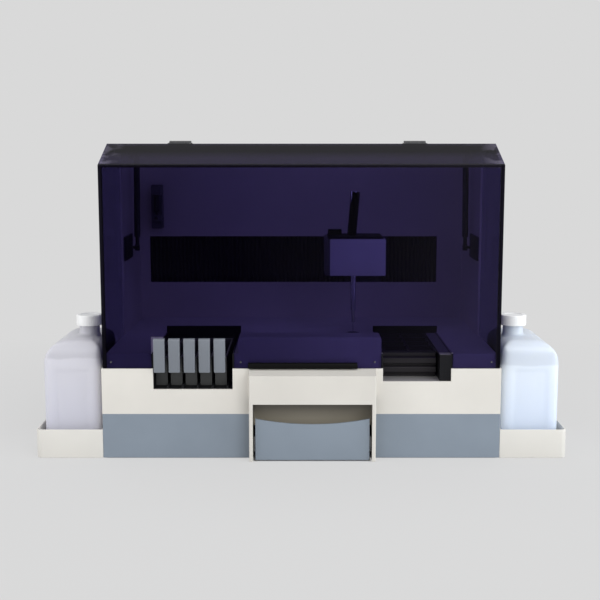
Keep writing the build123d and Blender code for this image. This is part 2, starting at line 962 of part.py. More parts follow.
# Lower strut brackets on the cheeks, with the pins that the rods turn on.
strut_inner = strut_x - strut_eye_width / 2
with BuildPart() as strut_brackets:
    for side in (-1, 1):
        block(
            (side * cheek_inner, side * (cheek_inner - bracket_thick)),
            (bracket_front, strut_low_depth + strut_eye_radius),
            (strut_low_height - bracket_drop, strut_low_height + bracket_rise),
        )
        pin_span = sorted((side * (cheek_inner - bracket_thick), side * strut_inner))
        bar_along_x(pin_span, strut_low_depth, strut_low_height, strut_pin_radius)
save(strut_brackets, "strut_brackets")

# Upper strut brackets, hung from the roof beside the cylinders' eyes.
hood_bracket_inner = strut_x + strut_cylinder_radius + hood_bracket_gap
with BuildPart() as hood_strut_brackets:
    for side in (-1, 1):
        block(
            (side * hood_bracket_inner, side * (hood_bracket_inner + hood_bracket_thick)),
            (strut_high_depth - strut_eye_radius, strut_high_depth + strut_eye_radius),
            (strut_high_height - strut_eye_radius, roof_under),
        )
save(hood_strut_brackets, "hood_strut_brackets")

# Crossbeam behind the slot, with the rail that carries the pipetting carriage.
beam_top = beam_bottom + beam_height
rail_front = beam_front - rail_size
rail_middle = beam_bottom + beam_height / 2
with BuildPart() as x_beam:
    block((-inner_x, inner_x), (beam_front, beam_front + beam_depth), (beam_bottom, beam_top))
    block(
        (-inner_x, inner_x),
        (beam_front + arm_wall, beam_front + beam_depth - arm_wall),
        (beam_bottom + arm_wall, beam_top - arm_wall),
        mode=Mode.SUBTRACT,
    )
save(x_beam, "x_beam")

with BuildPart() as x_rail:
    rail_ends = (slot_left - 20, slot_right + 40)
    rail_half = rail_size / 2
    block(rail_ends, (rail_front, beam_front), (rail_middle - rail_half, rail_middle + rail_half))
save(x_rail, "x_rail")

# Stepper motor that drives the carriage, fixed under the beam's left end.
with BuildPart() as x_motor:
    motor_left = -inner_x + 20
    block(
        (motor_left, motor_left + motor_size),
        (beam_front, beam_front + motor_length),
        (beam_bottom - motor_size, beam_bottom),
    )
    fillet(x_motor.edges().filter_by(Axis.Y), 4)
save(x_motor, "x_motor")

# Carriage: a plate that closes the slot between the bellows, with the rail's groove and the arm's
# sleeve behind it.
arm_left = arm_x - arm_width / 2
arm_right = arm_x + arm_width / 2
arm_top = arm_bottom + arm_height
carriage_front = wall_depth + shell_wall + 0.8
sleeve_front = carriage_front + carriage_plate
with BuildPart() as x_carriage:
    block((carriage_left, carriage_right), (carriage_front, sleeve_front), (bellows_low, bellows_high))
    block(
        (arm_left - carriage_wall, arm_right + carriage_wall),
        (sleeve_front, carriage_rear),
        (arm_bottom - carriage_wall, arm_top + carriage_wall),
    )
    block(
        (carriage_left, carriage_right),
        (sleeve_front, beam_front - 2),
        (rail_middle - rail_size, arm_bottom - carriage_wall),
    )
    block(
        (carriage_left, carriage_right),
        (rail_front - rail_fit, beam_front - 2),
        (rail_middle - rail_half - rail_fit, rail_middle + rail_half + rail_fit),
        mode=Mode.SUBTRACT,
    )
    block(
        (arm_left - arm_fit, arm_right + arm_fit),
        (carriage_front, carriage_rear),
        (arm_bottom - arm_fit, arm_top + arm_fit),
        mode=Mode.SUBTRACT,
    )
save(x_carriage, "x_carriage")

# Pipetting arm: a square tube that slides through the carriage and carries the head.
with BuildPart() as y_arm:
    block((arm_left, arm_right), (arm_front, arm_rear), (arm_bottom, arm_top))
    block(
        (arm_left + arm_wall, arm_right - arm_wall),
        (arm_front, arm_rear),
        (arm_bottom + arm_wall, arm_top - arm_wall),
        mode=Mode.SUBTRACT,
    )
save(y_arm, "y_arm")

# Head cover, open at the back, and the block inside it that guides the probe's rod.
with BuildPart() as head_cover:
    block((head_left, head_right), (head_front, head_rear), (head_bottom, head_top))
    front_corners = head_cover.edges().filter_by(Axis.Z).group_by(Axis.Y)[0]
    chamfer(front_corners.sort_by(Axis.X)[0], head_chamfer)
    front_corners = head_cover.edges().filter_by(Axis.Z).group_by(Axis.Y)[0]
    fillet(front_corners.sort_by(Axis.X)[-1], head_corner)
    block(
        (head_left + head_wall, head_right - head_wall),
        (head_front + head_wall + head_chamfer, head_rear),
        (head_bottom + head_wall, head_top - head_wall),
        mode=Mode.SUBTRACT,
    )
    for wall_z in ((head_bottom, head_bottom + head_wall), (head_top - head_wall, head_top)):
        post(probe_x, probe_depth, wall_z, rod_radius + 1.5, mode=Mode.SUBTRACT)
save(head_cover, "head_cover")

with BuildPart() as head_guide:
    block(
        (head_left + head_wall, arm_left),
        (probe_depth - 20, probe_depth + 20),
        (arm_bottom, arm_top),
    )
    post(probe_x, probe_depth, (arm_bottom, arm_top), rod_radius + arm_fit, mode=Mode.SUBTRACT)
save(head_guide, "head_guide")

# Probe: the lifting rod with its collar on top, the sleeve and the needle.
with BuildPart() as probe:
    post(probe_x, probe_depth, (rod_bottom, rod_top), rod_radius)
    post(probe_x, probe_depth, (rod_top - collar_height, rod_top), collar_radius)
    post(probe_x, probe_depth, (sleeve_bottom, rod_bottom), sleeve_radius)
    post(probe_x, probe_depth, (needle_tip, sleeve_bottom), needle_radius)
save(probe, "probe")

# Bellows: pleated black strips between the slot's ends and the carriage.
bellows_spans = {
    "bellows_left": (slot_left - bellows_overlap, carriage_left),
    "bellows_right": (carriage_right, slot_right + bellows_overlap),
}
for bellows_name, (fold_start, fold_end) in bellows_spans.items():
    fold_count = 2 * round((fold_end - fold_start) / bellows_pitch)
    fold_step = (fold_end - fold_start) / fold_count
    crests = [
        (fold_start + fold * fold_step, back(bellows_depth + (fold % 2) * bellows_fold))
        for fold in range(fold_count + 1)
    ]
    with BuildPart() as bellows:
        with BuildSketch(Plane.XY.offset(bellows_low)):
            with BuildLine():
                Polyline(
                    *crests,
                    *[(x, y + bellows_thick) for x, y in reversed(crests)],
                    close=True,
                )
            make_face()
        extrude(amount=bellows_high - bellows_low)
    save(bellows, bellows_name)

# Diluter pump on the rear wall, upper left.
pump_x = (-333.0, -308.0)
pump_reach = 40.0
pump_heights = (roof_height - 186, roof_height - 148, roof_height - 89)
with BuildPart() as syringe_pump:
    block(pump_x, (wall_depth - pump_reach, wall_depth), (pump_heights[1], pump_heights[2]))
    fillet(syringe_pump.edges().filter_by(Axis.Z).group_by(Axis.Y)[0], 3)
    pump_middle = (pump_x[0] + pump_x[1]) / 2
    post(pump_middle, wall_depth - pump_reach / 2, (pump_heights[0], pump_heights[1]), 8)
save(syringe_pump, "syringe_pump")

# Power supply and control board on the pan, behind the rear wall.
with BuildPart() as power_supply:
    block(
        (supply_x - supply_width / 2, supply_x + supply_width / 2),
        (service_front + supply_margin, cover_inner - supply_margin),
        (pan_floor, pan_floor + supply_height),
    )
    chamfer(power_supply.edges().filter_by(Axis.Z), 2)
save(power_supply, "power_supply")

with BuildPart() as control_board:
    board_z = pan_floor + board_standoff
    board_depths = (service_front + board_margin, cover_inner - board_margin)
    board_middle = sum(board_depths) / 2
    block(
        (board_x - board_width / 2, board_x + board_width / 2),
        board_depths,
        (board_z, board_z + board_thick),
    )
    for side in (-1, 1):
        for post_depth in (board_depths[0] + 8, board_depths[1] - 8):
            post(board_x + side * (board_width / 2 - 8), post_depth, (pan_floor, board_z), 4)
    chip_top = board_z + board_thick + 6
    for chip in range(4):
        chip_x = board_x + (chip - 1.5) * 80
        block(
            (chip_x - 16, chip_x + 16),
            (board_middle - 16, board_middle + 16),
            (board_z + board_thick, chip_top),
        )
save(control_board, "control_board")

# Mains inlet: one module with a socket, three short pins and the rocker's opening.
with BuildPart() as power_inlet:
    block(module_x, (socket_floor - inlet_base, cover_outer + inlet_flange), module_z)
    block(
        (inlet_x - inlet_socket[0] / 2, inlet_x + inlet_socket[0] / 2),
        (socket_floor, cover_outer + inlet_flange),
        (inlet_z - inlet_socket[1] / 2, inlet_z + inlet_socket[1] / 2),
        mode=Mode.SUBTRACT,
    )
    for pin in (-1, 0, 1):
        pin_x = inlet_x + pin * inlet_pin_pitch
        pin_z = inlet_z + (3 if pin == 0 else -3)
        block(
            (pin_x - 1, pin_x + 1),
            (socket_floor, socket_floor + inlet_pin_length),
            (pin_z - 2, pin_z + 2),
        )
    block(
        (switch_x - switch_width / 2, switch_x + switch_width / 2),
        (socket_floor - inlet_base, cover_outer + inlet_flange),
        (inlet_z - switch_radius - switch_gap, inlet_z + switch_radius + switch_gap),
        mode=Mode.SUBTRACT,
    )
save(power_inlet, "power_inlet")

# Mains rocker: a rounded key that rocks inside the module.
with BuildPart() as power_switch:
    switch_half = switch_width / 2 - switch_gap
    key_x = (switch_x - switch_half, switch_x + switch_half)
    key_axis = cover_outer - switch_sink
    bar_along_x(key_x, key_axis, inlet_z, switch_radius)
    block(
        key_x,
        (key_axis - switch_radius, key_axis - switch_radius / 2),
        (inlet_z - switch_radius, inlet_z + switch_radius),
        mode=Mode.SUBTRACT,
    )
save(power_switch, "power_switch")

# Side trays on the bench, each with a fluid bottle and its cap.
for side, side_name in ((-1, "left"), (1, "right")):
    tray_edges = (side * half_body, side * (half_body + tray_width))
    with BuildPart() as tray:
        block(tray_edges, (0, tray_depth), (0, tray_height))
        outer_corners = tray.edges().filter_by(Axis.Z).sort_by(Axis.X)
        fillet(outer_corners[:2] if side < 0 else outer_corners[-2:], tray_corner)
        inner_edges = (
            side * (half_body + tray_wall),
            side * (half_body + tray_width - tray_wall),
        )
        with BuildSketch(Plane.XY.offset(tray_wall)):
            with Locations((sum(inner_edges) / 2, back(tray_depth / 2))):
                RectangleRounded(
                    tray_width - 2 * tray_wall,
                    tray_depth - 2 * tray_wall,
                    tray_corner - tray_wall,
                )
        extrude(amount=tray_height, mode=Mode.SUBTRACT)
    save(tray, f"tray_{side_name}")

    bottle_inner = side * (half_body + bottle_gap)
    bottle_outer = bottle_inner + side * bottle_width
    bottle_back = bottle_front_gap + bottle_depth
    shoulder_z = bottle_top - bottle_shoulder
    with BuildPart() as bottle:
        with BuildSketch(Plane.XZ.offset(-back(bottle_back))) as front_view:
            with BuildLine():
                Polyline(
                    (bottle_outer, shoulder_z),
                    (bottle_outer, tray_wall),
                    (bottle_inner, tray_wall),
                    (bottle_inner, bottle_top),
                    (bottle_outer - side * bottle_shoulder, bottle_top),
                )
                RadiusArc(
                    (bottle_outer, shoulder_z),
                    (bottle_outer - side * bottle_shoulder, bottle_top),
                    -side * bottle_shoulder,
                )
            make_face()
            inner_corners = front_view.vertices().group_by(Axis.X)[0 if side > 0 else -1]
            fillet(inner_corners.sort_by(Axis.Z)[-1], bottle_front_round)
        extrude(amount=bottle_depth)
        with BuildSketch(Plane.YZ.offset(min(bottle_inner, bottle_outer))) as side_view:
            with Locations((back((bottle_front_gap + bottle_back) / 2), (bottle_top + tray_wall) / 2)):
                Rectangle(bottle_depth, bottle_top - tray_wall)
            fillet(side_view.vertices().group_by(Axis.Y)[-1], bottle_front_round)
        extrude(amount=bottle_width, mode=Mode.INTERSECT)
        with BuildSketch(Plane.XY.offset(tray_wall)):
            with Locations(((bottle_inner + bottle_outer) / 2, back((bottle_front_gap + bottle_back) / 2))):
                RectangleRounded(bottle_width, bottle_depth, bottle_corner)
        extrude(amount=bottle_top, mode=Mode.INTERSECT)
        post(side * neck_x, neck_depth, (shoulder_z, bottle_top + neck_height), neck_radius)
    save(bottle, f"bottle_{side_name}")

    cap_bottom = bottle_top + cap_lift
    cap_top = cap_bottom + cap_height
    with BuildPart() as cap:
        post(side * neck_x, neck_depth, (cap_bottom, cap_top), cap_radius)
        fillet(cap.edges().group_by(Axis.Z)[-1], 3)
        post(
            side * neck_x,
            neck_depth,
            (cap_bottom, bottle_top + neck_height + 0.5),
            neck_radius + strut_fit,
            mode=Mode.SUBTRACT,
        )
    save(cap, f"cap_{side_name}")
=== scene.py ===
"""Looks of a coagulation analyzer: finishes, dressed pieces, a plain studio and the camera."""
import json
import logging
import math
from dataclasses import dataclass, field
from enum import Enum
from typing import Callable, Optional, Sequence, Union

import bpy
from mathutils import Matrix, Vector

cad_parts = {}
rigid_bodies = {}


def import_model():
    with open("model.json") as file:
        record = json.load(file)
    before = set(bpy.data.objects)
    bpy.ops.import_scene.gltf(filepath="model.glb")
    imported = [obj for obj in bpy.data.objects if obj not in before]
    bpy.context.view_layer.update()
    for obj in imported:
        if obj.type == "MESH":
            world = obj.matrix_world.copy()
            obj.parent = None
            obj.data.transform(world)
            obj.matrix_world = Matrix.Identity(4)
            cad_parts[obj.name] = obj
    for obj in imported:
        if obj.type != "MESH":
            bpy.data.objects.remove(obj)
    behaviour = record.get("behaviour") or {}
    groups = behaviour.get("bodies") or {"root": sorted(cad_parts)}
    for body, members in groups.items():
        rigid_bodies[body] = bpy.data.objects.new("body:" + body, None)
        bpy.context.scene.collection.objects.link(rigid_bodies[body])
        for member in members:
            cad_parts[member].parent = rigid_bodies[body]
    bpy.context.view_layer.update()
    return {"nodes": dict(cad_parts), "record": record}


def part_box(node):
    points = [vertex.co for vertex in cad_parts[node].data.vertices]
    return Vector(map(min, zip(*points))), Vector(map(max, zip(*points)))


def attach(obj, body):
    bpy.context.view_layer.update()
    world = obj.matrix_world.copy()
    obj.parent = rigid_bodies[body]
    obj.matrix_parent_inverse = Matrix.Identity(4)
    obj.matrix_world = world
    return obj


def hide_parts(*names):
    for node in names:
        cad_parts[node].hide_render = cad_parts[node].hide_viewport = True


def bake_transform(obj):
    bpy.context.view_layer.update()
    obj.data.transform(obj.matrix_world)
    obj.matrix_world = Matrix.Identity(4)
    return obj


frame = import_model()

logging.basicConfig(level=logging.INFO, format="%(message)s")
log = logging.getLogger("analyzer")

Colour = tuple[float, float, float]
Triple = tuple[float, float, float]
Span = tuple[float, float]
Room = tuple[Span, Span, Span]
Test = Callable[..., bool]
Number = Union["Value", float]

# Lengths are in metres and angles in degrees.
X, Y, Z = range(3)
NEAR = 1e-5  # places closer than this are the same place
LEAST_RUN = 0.002  # an edge has to run this far along an axis to count as running along it
OVERLAP = 0.01  # how far a cutting piece reaches past what it cuts
BORDER = 0.001  # width over which one painted colour turns into the next
UPRIGHT = 0.01  # a face whose normal rises less than this stands upright
NOISE_MIDDLE = 0.5


def linear(red: int, green: int, blue: int) -> Colour:
    """Turns a colour as a screen shows it into the linear values that shaders take.

    Args:
        red: screen value from 0 to 255.
        green: screen value from 0 to 255.
        blue: screen value from 0 to 255.

    Returns:
        The three linear values.
    """
    def one(value: int) -> float:
        """One part's linear value."""
        share = value / 255
        return share / 12.92 if share <= 0.04045 else ((share + 0.055) / 1.055) ** 2.4

    return one(red), one(green), one(blue)


def toned(colour: Colour, share: float, lift: float = 0.0) -> Colour:
    """A share of a colour, lifted towards white, with no value over 1."""
    return tuple(min(1.0, value * share + lift) for value in colour)


def span(node: str) -> Room:
    """Extents of a CAD node along X, Y and Z."""
    low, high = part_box(node)
    return (low[0], high[0]), (low[1], high[1]), (low[2], high[2])


def part(whole: Span, start: float, end: float) -> Span:
    """Part of an extent. A place below zero counts back from the extent's far end."""
    return tuple(whole[place < 0] + place for place in (start, end))


def inside(whole: Room, parts: Room) -> Room:
    """Part of a room, with its extents along X, Y and Z counted as part() counts them."""
    return tuple(part(extent, *ends) for extent, ends in zip(whole, parts))


def middle(whole: Span) -> float:
    """Middle of an extent."""
    return (whole[0] + whole[1]) / 2


def edge_at(places: dict[int, float], along: Optional[int] = None) -> Test:
    """Makes a test that picks edges by their place.

    Args:
        places: where both ends lie, by axis.
        along: the axis that the edge runs along, where that matters.

    Returns:
        The test, which takes an edge's two ends.
    """
    def passes(a: Vector, b: Vector) -> bool:
        """Whether the edge lies there and runs that way."""
        lies = all(abs(end[axis] - places[axis]) < NEAR for axis in places for end in (a, b))
        return lies and (along is None or abs(a[along] - b[along]) > LEAST_RUN)

    return passes


def face_at(axis: int, place: float) -> Test:
    """Makes a test that picks the faces whose middle lies at a place on an axis."""
    return lambda centre, facing: abs(centre[axis] - place) < NEAR


class Value:
    """A number that varies over a surface. Python's operators add the Math nodes for it."""

    def __init__(self, recipe: "Recipe", socket: bpy.types.NodeSocket) -> None:
        """Keeps the recipe that the number belongs to, and its socket."""
        self.recipe = recipe
        self.socket = socket

    def maths(self, operation: str, *others: Number) -> "Value":
        """Adds a Math node with this number as its first input, and gives its result."""
        inputs = dict(enumerate((self, *others)))
        return self.recipe.value("ShaderNodeMath", {"operation": operation}, inputs)

    def __add__(self, other: Number) -> "Value":
        """Sum."""
        return self.maths("ADD", other)

    def __sub__(self, other: Number) -> "Value":
        """Difference."""
        return self.maths("SUBTRACT", other)

    def __mul__(self, other: Number) -> "Value":
        """Product."""
        return self.maths("MULTIPLY", other)

    def __rsub__(self, other: float) -> "Value":
        """Difference with the number on the right."""
        return self.maths("MULTIPLY", -1.0).maths("ADD", other)

    __radd__ = __add__
    __rmul__ = __mul__

    def band(self, start: float, end: float) -> "Value":
        """Goes from 0 at start to 1 at end, and stays level outside them."""
        inputs = {"Value": self, "From Min": start, "From Max": end}
        return self.recipe.value("ShaderNodeMapRange", {"clamp": True}, inputs)

    def under(self, limit: float) -> "Value":
        """Is 1 up to a limit, and falls to 0 over the width of a border."""
        return self.band(limit + BORDER, limit)

    def swing(self, amount: float) -> "Value":
        """Turns noise into a change to either side of 0, this many times as strong."""
        return (self - NOISE_MIDDLE) * amount


class Recipe:
    """One material, or the world, and the nodes that make it."""

    def __init__(self, name: str, kind: str = "materials", output: str = "Material") -> None:
        """Starts an empty node tree with its output.

        Args:
            name: the material's or the world's name.
            kind: Blender's collection that it goes to.
            output: which output node it ends in, "Material" or "World".
        """
        self.made = getattr(bpy.data, kind).new(name)
        self.made.use_nodes = True
        self.tree = self.made.node_tree
        self.tree.nodes.clear()
        self.output = self.tree.nodes.new(f"ShaderNodeOutput{output}")

    def node(
        self, kind: str, settings: Optional[dict] = None, inputs: Optional[dict] = None
    ) -> bpy.types.Node:
        """Adds a node.

        Args:
            kind: the node's type.
            settings: its properties, which are set first.
            inputs: values or links for its sockets, by name or number.

        Returns:
            The node.
        """
        node = self.tree.nodes.new(kind)
        for key, setting in (settings or {}).items():
            setattr(node, key, setting)
        for key, given in (inputs or {}).items():
            socket = node.inputs[key]
            if isinstance(given, Value):
                self.tree.links.new(given.socket, socket)
            elif isinstance(given, bpy.types.NodeSocket):
                self.tree.links.new(given, socket)
            elif socket.type == "RGBA":
                socket.default_value = (*given, 1.0)
            else:
                socket.default_value = given
        return node

    def value(self, kind: str, settings: dict, inputs: dict, output: Union[int, str] = 0) -> Value:
        """Adds a node and gives one of its outputs, by name or number, as a value."""
        return Value(self, self.node(kind, settings, inputs).outputs[output])

    def place(self) -> bpy.types.NodeSocket:
        """Object coordinates."""
        return self.node("ShaderNodeTexCoord").outputs["Object"]

    def axes(self) -> tuple[Value, Value, Value]:
        """Object coordinates as three values."""
        parts = self.node("ShaderNodeSeparateXYZ", {}, {0: self.place()})
        return tuple(Value(self, parts.outputs[axis]) for axis in (X, Y, Z))

    def noise(
        self, scale: float, detail: float = 2.0, stretch: Triple = (1.0, 1.0, 1.0)
    ) -> Value:
        """Soft noise.

        Args:
            scale: patches per metre.
            detail: how fine its smallest patches are.
            stretch: scale along each axis, for grain that runs one way.

        Returns:
            The noise, about 0.3 to 0.7.
        """
        moved = self.node("ShaderNodeMapping", {}, {"Vector": self.place(), "Scale": stretch})
        inputs = {"Vector": moved.outputs[0], "Scale": scale, "Detail": detail}
        return self.value("ShaderNodeTexNoise", {}, inputs, "Fac")

    def blend(self, share: Number, first: object, second: object) -> bpy.types.NodeSocket:
        """Mixes two colours or colour sockets, with this share of the second one."""
        inputs = {"Factor": share, 6: first, 7: second}
        return self.node("ShaderNodeMix", {"data_type": "RGBA"}, inputs).outputs[2]

    def bump(self, height: Value, depth: float, under: object = None) -> bpy.types.NodeSocket:
        """Relief.

        Args:
            height: the relief's height.
            depth: its depth in metres.
            under: another normal that it adds to.

        Returns:
            The normal's socket.
        """
        inputs = {"Height": height, "Distance": depth, "Strength": 1.0}
        if under is not None:
            inputs["Normal"] = under
        return self.node("ShaderNodeBump", {}, inputs).outputs["Normal"]

    def soft_edges(self, radius: float) -> tuple[bpy.types.NodeSocket, Value]:
        """Rounds a sharp piece's edges for the light, and says where they are.

        Args:
            radius: the round's radius in metres.

        Returns:
            The rounded normal, and a value that is 1 on edges.
        """
        flat_from, edge_from = 0.995, 0.9
        rounded = self.node("ShaderNodeBevel", {"samples": 6}, {"Radius": radius}).outputs[0]
        flat = self.node("ShaderNodeNewGeometry").outputs["Normal"]
        settings = {"operation": "DOT_PRODUCT"}
        likeness = self.value("ShaderNodeVectorMath", settings, {0: rounded, 1: flat}, "Value")
        return rounded, likeness.band(flat_from, edge_from)

    def seen(self) -> Value:
        """Tells what the camera sees, straight, mirrored or through clear sheet.

        Returns:
            A value that is 1 for it, and else 0.
        """
        path = self.node("ShaderNodeLightPath")
        straight, mirrored, through = (
            Value(self, path.outputs[f"Is {kind} Ray"])
            for kind in ("Camera", "Glossy", "Transmission")
        )
        return straight.maths("MAXIMUM", mirrored).maths("MAXIMUM", through)

    def finish(self, shader: bpy.types.Node) -> Union[bpy.types.Material, bpy.types.World]:
        """Sends the last shader to the output, and gives the finished material or world."""
        self.tree.links.new(shader.outputs[0], self.output.inputs["Surface"])
        return self.made

    def plain(self, inputs: dict) -> bpy.types.Material:
        """Finishes with one Principled shader that has these inputs."""
        return self.finish(self.node("ShaderNodeBsdfPrincipled", {}, inputs))

    def layered(
        self, share: Value, under: bpy.types.Node, over: bpy.types.Node
    ) -> Union[bpy.types.Material, bpy.types.World]:
        """Finishes with two shaders, the second one laid over this share of the first."""
        inputs = {0: share, 1: under.outputs[0], 2: over.outputs[0]}
        return self.finish(self.node("ShaderNodeMixShader", {}, inputs))


@dataclass(frozen=True)
class Moulding:
    """Moulded or painted skin: fine grain, faint mottling, paler rubbed edges, and where asked
    painted light on upward faces and painted shade in a recess.
    """

    name: str
    colour: Colour
    roughness: float = 0.45
    grain: float = 1400.0
    relief: float = 0.00004
    mottle: float = 0.05
    wear: float = 0.12
    edge: float = 0.0008
    dust: float = 0.0
    index: float = 1.5
    # floor: paler colour that upward faces take, as painted light from above.
    floor: Optional[Colour] = None
    # recess: painted shade inside a well behind recess_front, darker towards recess_top.
    recess: Optional[Colour] = None
    recess_front: float = 0.0
    patches: float = 9.0
    patch_contrast: Span = (0.35, 0.65)
    patch_gloss: float = 0.25
    grain_gloss: float = 0.2
    rubbed: float = 0.5
    dust_top: float = 0.09
    dust_tone: float = 0.8
    level: Span = (0.8, 0.95)
    recess_top: float = 0.118
    recess_top_fade: float = 0.002
    recess_shade: Span = (0.075, 0.108)
    recess_shadow_tone: float = 0.4

    def make(self) -> bpy.types.Material:
        """Builds the material.

        Returns:
            The finished material.
        """
        recipe = Recipe(self.name)
        grain = recipe.noise(self.grain, detail=3.0)
        cloud = recipe.noise(self.patches, detail=3.0)
        rounded, edge = recipe.soft_edges(self.edge)
        dark = toned(self.colour, 1 - self.mottle * 2)
        pale = toned(self.colour, 1 - self.rubbed, self.rubbed)
        colour = recipe.blend(cloud.band(*self.patch_contrast), dark, self.colour)
        colour = recipe.blend(edge * self.wear, colour, pale)
        if self.dust:
            low = recipe.axes()[Z].band(self.dust_top, 0.0)
            dusty = toned(self.colour, self.dust_tone)
            colour = recipe.blend(low * cloud * self.dust, colour, dusty)
        # Painted light: upward faces take the floor colour, for the light that falls on them.
        if self.floor:
            facing = recipe.node("ShaderNodeNewGeometry").outputs["Normal"]
            upward = recipe.value("ShaderNodeSeparateXYZ", {}, {0: facing}, Z)
            colour = recipe.blend(upward.band(*self.level), colour, self.floor)
        # Painted shade: faces behind the recess front and under its top take the recess colour,
        # darkest under the overhang.
        if self.recess:
            _, back, up = recipe.axes()
            behind = back.band(self.recess_front, self.recess_front + BORDER)
            below = up.band(self.recess_top + self.recess_top_fade, self.recess_top)
            shaded = toned(self.recess, self.recess_shadow_tone)
            inner = recipe.blend(up.band(*self.recess_shade), self.recess, shaded)
            colour = recipe.blend(behind * below, colour, inner)
        rough = cloud.swing(self.patch_gloss) + grain.swing(self.grain_gloss)
        inputs = {
            "IOR": self.index,
            "Base Color": colour,
            "Roughness": rough + self.roughness,
            "Normal": recipe.bump(grain, self.relief, rounded),
        }
        return recipe.plain(inputs)


class Grain(Enum):
    """Which way a metal is brushed or drawn."""

    ALONG_X = (0.04, 1.0, 1.0)
    ALONG_Y = (1.0, 0.04, 1.0)


@dataclass(frozen=True)
class Metal:
    """Bare metal with fine drawn lines and a few duller patches."""

    name: str
    colour: Colour
    roughness: float = 0.3
    grain: Grain = Grain.ALONG_X
    spangle: float = 0.0
    lines: float = 1100.0
    line_contrast: Span = (0.3, 0.7)
    line_tone: float = 0.72
    line_gloss: float = 0.2
    patches: float = 22.0
    patch_gloss: float = 0.3
    crystals: float = 70.0
    crystal_tone: float = 1.25
    edge: float = 0.0006
    edge_gloss: float = 0.08
    relief: float = 0.00003

    def make(self) -> bpy.types.Material:
        """Builds the material.

        Returns:
            The finished material.
        """
        recipe = Recipe(self.name)
        lines = recipe.noise(self.lines, stretch=self.grain.value)
        cloud = recipe.noise(self.patches, detail=4.0)
        rounded, edge = recipe.soft_edges(self.edge)
        dark = toned(self.colour, self.line_tone)
        colour = recipe.blend(lines.band(*self.line_contrast), dark, self.colour)
        if self.spangle:
            inputs = {"Vector": recipe.place(), "Scale": self.crystals}
            cells = recipe.node("ShaderNodeTexVoronoi", {}, inputs).outputs["Color"]
            crystal = recipe.value("ShaderNodeSeparateColor", {}, {0: cells})
            pale = toned(self.colour, self.crystal_tone)
            colour = recipe.blend(crystal * self.spangle, colour, pale)
        rough = cloud.swing(self.patch_gloss) + lines.swing(self.line_gloss) + self.roughness
        inputs = {
            "Base Color": colour,
            "Metallic": 1.0,
            "Roughness": rough - edge * self.edge_gloss,
            "Normal": recipe.bump(lines, self.relief, rounded),
        }
        return recipe.plain(inputs)


@dataclass(frozen=True)
class TintedAcrylic:
    """Violet-tinted clear sheet: light goes straight through, tinted at each face; painted shade,
    glare and reflection lie on parts of it.
    """

    name: str
    tint: Colour
    strip_front: float
    strip_low: float
    strip_slope: float
    strip_half_width: float
    strip_depth: float = 0.0052
    strip_fade: Span = (0.012, 0.024)
    strip_cover: Span = (0.62, 0.88)
    # The slope's band is painted shade, darkest at its top; glare paints highlights at its ends.
    strip_painted_light: Colour = (0.028, 0.024, 0.042)
    front_depth: float = 0.005
    edge: float = 0.0075
    edge_fade: float = 0.0012
    edge_cover: float = 0.96
    lip_rise: Span = (-0.005, -0.004)
    lip_fall: Span = (0.004, 0.002)
    lip_cover: float = 0.9
    # Painted highlight: glare at both ends of the slope.
    glare: Colour = (0.16, 0.145, 0.2)
    glare_side: Span = (0.335, 0.366)
    glare_patches: float = 45.0
    glare_contrast: Span = (0.45, 0.62)
    glare_loss: float = 0.6
    skin: Colour = (0.003, 0.0025, 0.005)
    # Painted reflection: a paler veil over the right side; shade_side paints shade on the front's
    # left.
    reflection_veil: Colour = (0.06, 0.055, 0.066)
    reflection_side: Span = (-0.12, 0.3)
    reflection_cover: float = 0.05
    shade_side: Span = (0.1, -0.2)
    shade_cover: float = 0.13
    gloss_index: float = 1.45
    gloss_cover: float = 0.55
    index: float = 1.108
    smears: float = 14.0
    smear_gloss: float = 0.12
    roughness: float = 0.02

    def make(self) -> bpy.types.Material:
        """Builds the material.

        Returns:
            The finished material.
        """
        recipe = Recipe(self.name)
        across, back, up = recipe.axes()
        side = across.maths("ABSOLUTE")
        above = up - self.strip_low
        behind = back - self.strip_front
        front = behind.under(self.front_depth)
        near = (above - behind * self.strip_slope).maths("ABSOLUTE").under(self.strip_depth)
        # Painted shade on the slope's band, lighter lower down.
        strip = near * side.under(self.strip_half_width - BORDER) * (1.0 - front)
        height = above.band(*self.strip_fade)
        # Painted highlight: patchy glare at the slope's two ends.
        patches = recipe.noise(self.glare_patches).band(*self.glare_contrast)
        glare = side.band(*self.glare_side) * patches * (1.0 - height * self.glare_loss)
        # Painted reflection: a paler veil that grows towards the right.
        reflection_veil = across.band(*self.reflection_side)
        rim = self.strip_half_width - self.edge
        lip = above.band(*self.lip_rise) * above.band(*self.lip_fall) * self.lip_cover
        edge = side.band(rim, rim + self.edge_fade).maths("MAXIMUM", lip) * front
        skin_colour = recipe.blend(reflection_veil * (1.0 - edge), self.skin, self.reflection_veil)
        strip_painted_light = recipe.blend(height, self.strip_painted_light, self.skin)
        strip_painted_light = recipe.blend(glare, strip_painted_light, self.glare)
        smears = recipe.noise(self.smears, detail=4.0)
        inputs = {
            "Base Color": recipe.blend(strip, skin_colour, strip_painted_light),
            "Roughness": smears * self.smear_gloss + self.roughness,
            "IOR": self.index,
        }
        skin = recipe.node("ShaderNodeBsdfPrincipled", {}, inputs)
        gloss = recipe.value("ShaderNodeFresnel", {}, {"IOR": self.gloss_index})
        shaded = across.band(*self.shade_side) * front * self.shade_cover
        share = gloss * self.gloss_cover + reflection_veil * self.reflection_cover + shaded
        low_cover, high_cover = self.strip_cover
        cover = strip * (height * (high_cover - low_cover) + low_cover)
        share = share.maths("MAXIMUM", cover).maths("MAXIMUM", edge * self.edge_cover)
        clear = recipe.node("ShaderNodeBsdfTransparent", {}, {"Color": self.tint})
        return recipe.layered(share, clear, skin)


